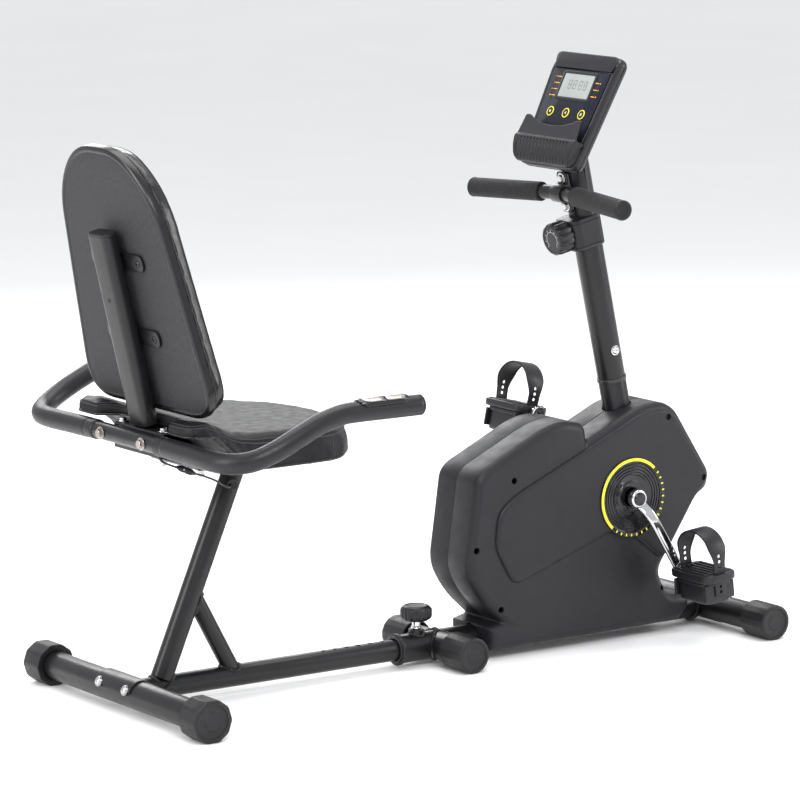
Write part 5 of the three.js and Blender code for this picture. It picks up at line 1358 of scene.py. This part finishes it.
def make_tension():
    """Moulded housing on the mast, and the fluted knob with its ring of marks."""
    at = frame_at(*mast_at(751)[[0, 2]], MAST_TURN)
    curve = even(eased([[-46, -30, 16], [20, -30, 12], [20, 30, 12], [-46, 30, 16]], 8), 160)
    levels = [(-30, 3), (-29, 1), (-27, 0), (-24, 0), (-23.4, 0.9), (-22.6, 0.9), (-22, 0), (19, 0),
              (19.6, 0.9),
              (20.4, 0.9), (21, 0), (24, 0), (26.2, 1), (27, 3)]
    body = build("tension_housing_moulded", placed([stacked(curve, levels)], at), look("trim"), MAIN,
                 ["tension_housing"])
    drill(body,
          placed([turned([[0, -60], [25.5, -60], [25.5, 60], [0, 60]], (0, 0, 0), (0, 0, 1), 64)], at))
    start = -46.7
    r = 30
    shape = [[4, 0], [r - 5, 0], [r - 1, 1.5], [r, 5], [r, 24], [r - 1.4, 28.5]]
    face = [[r - 3.4, 30.4], [r - 5, 31], [r - 7, 31], [r - 8, 30], [r - 18, 30], [0, 30.4]]
    knob = turned([*shape, *face], (start, 0, 0), (-1, 0, 0), 252, flutes=14, depth=2.2)
    marks = []
    angles = np.radians(np.linspace(-135, 135, 9))
    for k, angle in enumerate(angles):
        u = np.array([0, math.sin(angle), math.cos(angle)])
        q0, q1 = 16.5, 16.5 + 1.2 + 0.35 * k
        path = [np.array([start - 30.15, 0, 0]) + u * q for q in (q0, (q0 + q1) / 2, q1)]
        marks.append(swept(path, box_outline(1.3, 0.5, 0.2, 3), (1, 0, 0)))
    turn = np.radians(np.linspace(-135, 135, 60))
    arc = np.column_stack([np.full(60, start - 30.2), 14.6 * np.sin(turn), 14.6 * np.cos(turn)])
    marks.append(swept(arc, box_outline(0.9, 0.4, 0.1, 3), (1, 0, 0)))
    build("tension_knob_fluted", placed([knob, *marks], at), [look("trim"), look("pale")], "tension_knob",
          ["tension_knob"], marks=[0] + [1] * len(marks))


FRONT_R = 12.7


def make_front_bar():
    """Front handlebar with a shallow sweep, its clamp, bolts and foam grips."""
    at = frame_at(*mast_at(826)[[0, 2]], MAST_TURN)
    y = np.linspace(-217, 217, 180)
    sweep = 32 * np.clip((np.abs(y) - 18) / 199, 0, None)
    bend = 32 / 199 * (np.sqrt((np.abs(y) - 18) ** 2 + 64) - np.abs(np.abs(y) - 18)) * 0.5
    path = np.column_stack([-40 - sweep - bend * (np.abs(y) < 80), y, np.zeros(180)])
    build("front_bar_bent", placed([swept(path, circle(FRONT_R, 36))], at), look("satin_black"), MAIN,
          ["front_handlebar"])
    for word, side in SIDES:
        a = np.array([-40 - 32 * (48 - 24) / 193 - 0.5, side * 49, 0])
        b = np.array([-72.6, side * 221.5, 0])
        along = b - a
        reach = float(np.linalg.norm(along))
        profile = [[13, 0], [16.4, 0], [17.5, 1.6], [17.5, reach - 5], [16.6, reach - 2], [14, reach - 0.4],
                   [9, reach - 0.2], [8.4, reach - 1], [0, reach - 1.2]]
        disc = [[13, reach - 4], [17.9, reach - 4], [17.9, reach - 2], [15, reach], [13, reach]]
        build(f"front_grip_{word}_foam", placed([turned(profile, a, along, 48, 0.6),
                                                 turned(disc, a, along, 48, 0.6, loop=True)], at),
              [look("foam"), look("caps")], MAIN, [f"front_grip_{word}"], marks=[0, 1])
    plate = slab(eased([[-15, -38, 10], [15, -38, 10], [15, 38, 10], [-15, 38, 10]]), -32.6, -27, 1.4)
    sleeve = turned([[FRONT_R + 0.3, -15], [FRONT_R + 4, -15], [FRONT_R + 4, 15], [FRONT_R + 0.3, 15]],
                    (-40, 0, 0),
                    (0, 1, 0), 48, 1, loop=True)
    bolts = row_of(hex_bolt, [(-32.6, 0, z) for z in (-26, 26)], (-1, 0, 0), 12)
    build("handlebar_clamp_pressed", placed([plate, sleeve], at), look("satin_black"), MAIN,
          ["handlebar_clamp"])
    build("clamp_bolts", placed(bolts, at), look("zinc"), MAIN)


# ---------------------------------------------------------------- console
CONSOLE_AT = frame_at(918, 941, math.radians(27))
LOW, HIGH = -80, 138
LCD = (-43, 43, 51, 96)
BUTTON_Z = 21.5
KEY_PITCH = 45
RIB_PITCH = 9.6


def console_piece(name, surfaces, finish, stands_for=(), marks=None):
    """A piece on the console's own axes, fixed to the main frame."""
    return build(name, placed(surfaces, CONSOLE_AT), finish, MAIN, stands_for, marks=marks)


def make_console():
    """Console in two shells with a visor, its printed overlay, display, buttons and marks."""
    front = even(eased([[-80, LOW, 14], [80, LOW, 14], [93, HIGH, 22], [-93, HIGH, 22]], 10), 280)
    top = np.clip((front[:, 1] - 96) / 42, 0, 1) ** 2 * 9

    def ring(margin, a, lean=1.0):
        edge = inset(front, margin)
        return np.column_stack([a + top * lean, edge])

    shell = [ring(11, 1.6, 0.9), ring(8, 1.4, 0.9), ring(6.4, 0.2, 0.9), ring(2.4, 0), ring(0.8, 0.7),
             ring(0, 2.6),
             ring(0, 13.6, 0.4), ring(0.6, 14.8, 0.2)]
    back = [ring(1.2, 15.4, 0.1), ring(0, 16.4, 0), ring(0.6, 20, 0), ring(4, 24.5, 0), ring(10, 27.3, 0),
            ring(20, 28, 0)]
    console_piece("console_front_shell", [skin(np.array(shell))], look("trim"),
                  ["console_front"])
    rear = console_piece("console_back_shell", [skin(np.array(back))], look("trim"),
                         ["console_back"])
    neck_low, neck_high = mast_at(800), mast_at(930)
    drill(rear, [turned([[0, 0], [26, 0], [26, 133], [0, 133]], neck_low, neck_high - neck_low, 48)])

    print_area = even(eased([[-72, -29, 10], [72, -29, 10], [82, 104, 8], [-82, 104, 8]], 10), 240)
    trim_line = []
    for k in (-1, 1):
        line = [(-0.35, 60 * k, 44), (-0.35, 64 * k, 60), (-0.35, 66 * k, 84), (-0.35, 60 * k, 104)]
        trim_line.append(swept(spline(line, 40), box_outline(0.9, 0.3, 0.1, 3), (1, 0, 0)))
    console_piece("console_overlay", [slab(print_area, -0.2, 2.4, 0.3), *trim_line],
                  [look("overlay"), look("trim")], marks=[0] + [1] * len(trim_line))
    y0, y1, z0, z1 = LCD
    middle = np.array([0, (z0 + z1) / 2])
    frame_out = box_outline(y1 - y0 + 12, z1 - z0 + 12, 8, 6)
    frame_in = box_outline(y1 - y0, z1 - z0, 3, 6)
    rim = [np.column_stack([np.full(len(c), a), c + middle])
           for c,
           a in ((frame_in, 0.6), (frame_in, -0.9), (frame_in * 1.03, -1.3), (frame_out * 0.98, -1.3),
                        (frame_out, -0.8), (frame_out, 0.6))]
    console_piece("display_bezel", [skin(np.array(rim), loop=True)], look("trim"))
    glass = slab(box_outline(y1 - y0, z1 - z0, 3, 6) + middle, -0.55, 1.5, 0.2)
    console_piece("display_glass", [glass], look("display"), ["lcd_window"])
    bars = []
    for k, y in enumerate((-25, -11, 5, 19)):
        for dy, dz, w, h in ((0, 8, 7, 1.2), (0, 0, 7, 1.2), (0, -8, 7, 1.2), (-4, 4, 1.2, 6.4),
                             (4, 4, 1.2, 6.4),
                             (-4, -4, 1.2, 6.4), (4, -4, 1.2, 6.4)):
            bars.append(slab(box_outline(w, h, 0.4, 3) + (y + dy, middle[1] + 2 + dz), -0.75, -0.5, 0.05,
                             steps=2))
    console_piece("display_segments", bars, look("segments"))
    marks = []
    for side, zs in ((-1, (57, 70, 83)), (1, (52, 64, 76, 88))):
        for z in zs:
            marks.append(slab(box_outline(11, 1.6, 0.8, 3) + (side * 56, z), -0.45, -0.15, 0.08, steps=2))
            marks.append(slab(circle(1.5, 16) + (side * 65, z), -0.45, -0.15, 0.08, steps=2))
    console_piece("console_amber_marks", marks, look("amber"))
    visor = even(eased([[-82, 106, 3], [82, 106, 3], [90, 136, 20], [-90, 136, 20]], 10), 240)
    console_piece("console_visor", [slab(visor, -2.6, 3, 2.2)], look("trim"))
    for k, word in enumerate(("right", "middle", "left")):
        make_button(word, (k - 1) * KEY_PITCH, k)
    make_phone_rest()


def make_button(word, y, kind):
    """Domed key with a coloured ring and a plain sign: a square, a triangle or a disc."""
    cap = turned([[0, -3], [9.3, -3], [9.3, 0.4], [8.7, 1.1], [7.2, 1.3], [0, 1.7]], (0.2, y, BUTTON_Z),
                 (-1, 0, 0), 56, 0.4)
    ring = turned([[7.4, 1.0], [9.2, 0.4], [9.3, 1.0], [8.8, 1.5], [7.5, 1.6]], (0.2, y, BUTTON_Z),
                  (-1, 0, 0), 56,
                  0.2, loop=True)
    signs = (
        eased([[-2.6, -2.6, 0.5], [2.6, -2.6, 0.5], [2.6, 2.6, 0.5], [-2.6, 2.6, 0.5]], 3),
        eased([[-2.4, -3, 0.5], [3.2, 0, 0.5], [-2.4, 3, 0.5]], 3),
        circle(2.8, 20),
    )
    sign = slab(signs[kind] + (y, BUTTON_Z), -1.62, -1.3, 0.08, steps=2)
    build(f"button_{word}_key", placed([cap, ring, sign], CONSOLE_AT),
          [look("trim"), look("yellow"), look("pale")],
          f"button_{word}", [f"button_{word}"], marks=[0, 1, 2])


def make_phone_rest():
    """Trough below the keys: a profile carried across, with a wavy top, a ribbed face and a row of holes.

    Across share t in -1..1 gives y = t * half width at that height. Ribs push the face out by half a
    cosine wave.
    """
    wall = [(-20.2, 3), (-19.8, 4), (-18.4, 4), (-18, 3), (-18, -31), (-16.5, -33), (-2, -33), (-0.4, -34),
            (-0.4, -76),
            (-4, -80), (-11, -80), (-18, -68), (-22, -54), (-23, -42), (-22.8, -35.5), (-21.6, -34),
            (-20.4, -33),
            (-20.2, -15)]
    wall = eased([[a, b, 2.5] for a, b in wall], 5)
    wall = even(wall, 150)
    t = np.linspace(-1, 1, 420)[:, None]
    x, z = wall[:, 0][None], wall[:, 1][None]
    half = np.interp(z, [-80, -74, -60, -40, -33, 4], [72, 80, 84, 89, 87, 82])
    y = t * half
    wave = 3.2 - 13.5 * np.clip(1 - (np.abs(y) / 66) ** 2.4, 0,
                                1) + 1.8 * np.exp(-(((np.abs(y) - 74) / 6) ** 2))
    share = np.clip((z + 33) / 37, 0, 1)
    high = np.where((z > -33) & (x < -15), -33 + share * (wave + 33), z)
    rib = np.clip(np.cos(y * 2 * np.pi / RIB_PITCH), 0, 1) ** 0.5
    face = ((x < -8) & (z < -44)) * np.clip((-z - 44) / 4, 0, 1) * np.clip((z + 79) / 4, 0, 1)
    deep = x + 1.5 * rib * face * (np.abs(y) < 76)
    round_end = 1 - 0.02 * (np.abs(t) > 0.995)
    rings = np.stack([deep, y * round_end, high], -1)
    rest = build("phone_rest_moulded", placed([skin(rings)], CONSOLE_AT), look("trim"), MAIN,
                 ["phone_rest"], facet=math.radians(50))
    holes = [turned([[0, -3], [1.8, -3], [1.8, 6], [0, 6]], (-22, (k - 7) * RIB_PITCH, -40), (-1, 0, 0), 14)
             for k in range(15)]
    drill(rest, placed(holes, CONSOLE_AT))


def dress_nodes():
    """Finishes of the nodes that show as they are."""
    wear = {
        "crank_axle": "bare", "crank_bearing": "bare", "drive_pulley": "trim", "drive_belt": "rubber",
        "flywheel": "iron", "flywheel_fork": "satin_black", "magnet_arm": "bare",
    }
    for name, finish_name in wear.items():
        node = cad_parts[name]
        node.data.materials.clear()
        node.data.materials.append(look(finish_name))


# ---------------------------------------------------------------- sizes and colours a user would change
class BikeLooks(bpy.types.PropertyGroup):
    """Colours, light and view of the bike."""

    steel_colour: bpy.props.FloatVectorProperty(
        name="Steel", description="Powder coat of the tubes", subtype="COLOR", size=3,
        default=(0.007, 0.007, 0.008),
        min=0, max=1)
    casing_colour: bpy.props.FloatVectorProperty(
        name="Casing", description="Moulded plastic of the casing and trim", subtype="COLOR", size=3,
        default=(0.010, 0.010, 0.013), min=0, max=1)
    vinyl_colour: bpy.props.FloatVectorProperty(
        name="Vinyl", description="Cover of the seat and the backrest", subtype="COLOR", size=3,
        default=(0.008, 0.008, 0.009), min=0, max=1)
    accent_colour: bpy.props.FloatVectorProperty(
        name="Accent", description="Rings round the keys and on the crank covers", subtype="COLOR", size=3,
        default=(0.86, 0.74, 0.01), min=0, max=1)
    amber_colour: bpy.props.FloatVectorProperty(
        name="Amber", description="Small marks beside the display", subtype="COLOR", size=3,
        default=(0.75, 0.33, 0.01), min=0, max=1)
    fill_light: bpy.props.FloatProperty(
        name="Fill light", description="Strength of the light from all round", default=0.85, min=0, max=5)
    key_light: bpy.props.FloatProperty(
        name="Key light", description="Power of the strongest lamp", default=120, min=0, max=2000,
        unit="POWER")
    lens: bpy.props.FloatProperty(
        name="Lens", description="Focal length of the camera in millimetres", default=191.08, min=10,
        max=400)
    view_turn: bpy.props.FloatProperty(
        name="View turn", description="Camera's turn about the vertical in degrees", default=-35.016,
        min=-360, max=360)
    view_tip: bpy.props.FloatProperty(
        name="View tip", description="Camera's tip below the horizon in degrees", default=9.501, min=-90,
        max=90)
    view_roll: bpy.props.FloatProperty(
        name="View roll", description="Camera's roll in degrees", default=0.044, min=-45, max=45)


def looks_of(context):
    """The scene's settings."""
    return context.scene.bike_looks


class FinishesOperator(bpy.types.Operator):
    """Makes every finish"""

    bl_idname = "bike.finishes"
    bl_label = "Finishes"

    def execute(self, context):
        make_finishes(looks_of(context))
        return {"FINISHED"}


class StageOperator(bpy.types.Operator):
    """Makes the floor, the lights and the camera"""

    bl_idname = "bike.stage"
    bl_label = "Stage"

    def execute(self, context):
        make_stage(looks_of(context))
        return {"FINISHED"}


def operator(name, label, words, make):
    """Operator class that calls one maker."""

    def execute(self, context):
        make()
        return {"FINISHED"}

    return type(name, (bpy.types.Operator,), {
        "__doc__": words, "bl_idname": "bike." + label.lower().replace(" ", "_"), "bl_label": label,
        "execute": execute,
    })


PIECES = (
    operator("LeadOperator", "Pulse lead", "Makes the lead and its connector", make_lead),
    operator("FeetOperator", "Feet", "Makes the foot tubes, caps and bolts", make_feet),
    operator("BeamOperator", "Floor beam", "Makes the floor beam with its welded parts", make_beam),
    operator("PinOperator", "Pull pin", "Makes the pull pin and its knob", make_pin),
    operator("RailOperator", "Seat rail", "Makes the seat rail with its holes", make_rail),
    operator("PostOperator", "Seat post", "Makes the seat post and its brace", make_post),
    operator("SeatFrameOperator", "Seat frame", "Makes the sheet under the seat and its fasteners",
             make_seat_frame),
    operator("SeatOperator", "Seat cushion", "Makes the seat cushion", make_seat),
    operator("BackrestOperator", "Backrest", "Makes the backrest and its upright", make_backrest),
    operator("RearBarOperator", "Rear handlebar", "Makes the rear handlebar, covers and pulse pods",
             make_rear_bar),
    operator("CasingOperator", "Casing", "Makes the casing halves and the crank covers", make_casing),
    operator("CranksOperator", "Cranks and pedals", "Makes the crank arms, pedals and straps", make_cranks),
    operator("MastOperator", "Mast", "Makes the mast and its lower tube", make_mast),
    operator("TensionOperator", "Tension knob", "Makes the tension housing and its knob", make_tension),
    operator("FrontBarOperator", "Front handlebar", "Makes the front handlebar, grips and clamp",
             make_front_bar),
    operator("ConsoleOperator", "Console", "Makes the console, keys and phone rest", make_console),
    operator("NodesOperator", "Inner parts", "Gives the inner parts their finishes", dress_nodes),
)


class BikePanel(bpy.types.Panel):
    """Lists the bike's settings and pieces"""

    bl_idname = "VIEW3D_PT_exercise_bike"
    bl_label = "Exercise Bike"
    bl_space_type = "VIEW_3D"
    bl_region_type = "UI"
    bl_category = "Exercise Bike"

    def draw(self, context):
        looks = looks_of(context)
        for name in looks.__annotations__:
            self.layout.prop(looks, name)
        for maker in (FinishesOperator, StageOperator, *PIECES):
            self.layout.operator(maker.bl_idname)


CLASSES = (BikeLooks, FinishesOperator, StageOperator, *PIECES, BikePanel)


def register():
    """Makes the settings and operators known."""
    for known in CLASSES:
        bpy.utils.register_class(known)
    bpy.types.Scene.bike_looks = bpy.props.PointerProperty(type=BikeLooks)


def unregister():
    """Takes the settings and operators away again."""
    del bpy.types.Scene.bike_looks
    for known in reversed(CLASSES):
        bpy.utils.unregister_class(known)


def main():
    """Builds everything in order and writes the two boxes."""
    register()
    for maker in (FinishesOperator, StageOperator, *PIECES):
        group, name = maker.bl_idname.split(".")
        getattr(getattr(bpy.ops, group), name)()


if __name__ == "__main__":
    main()
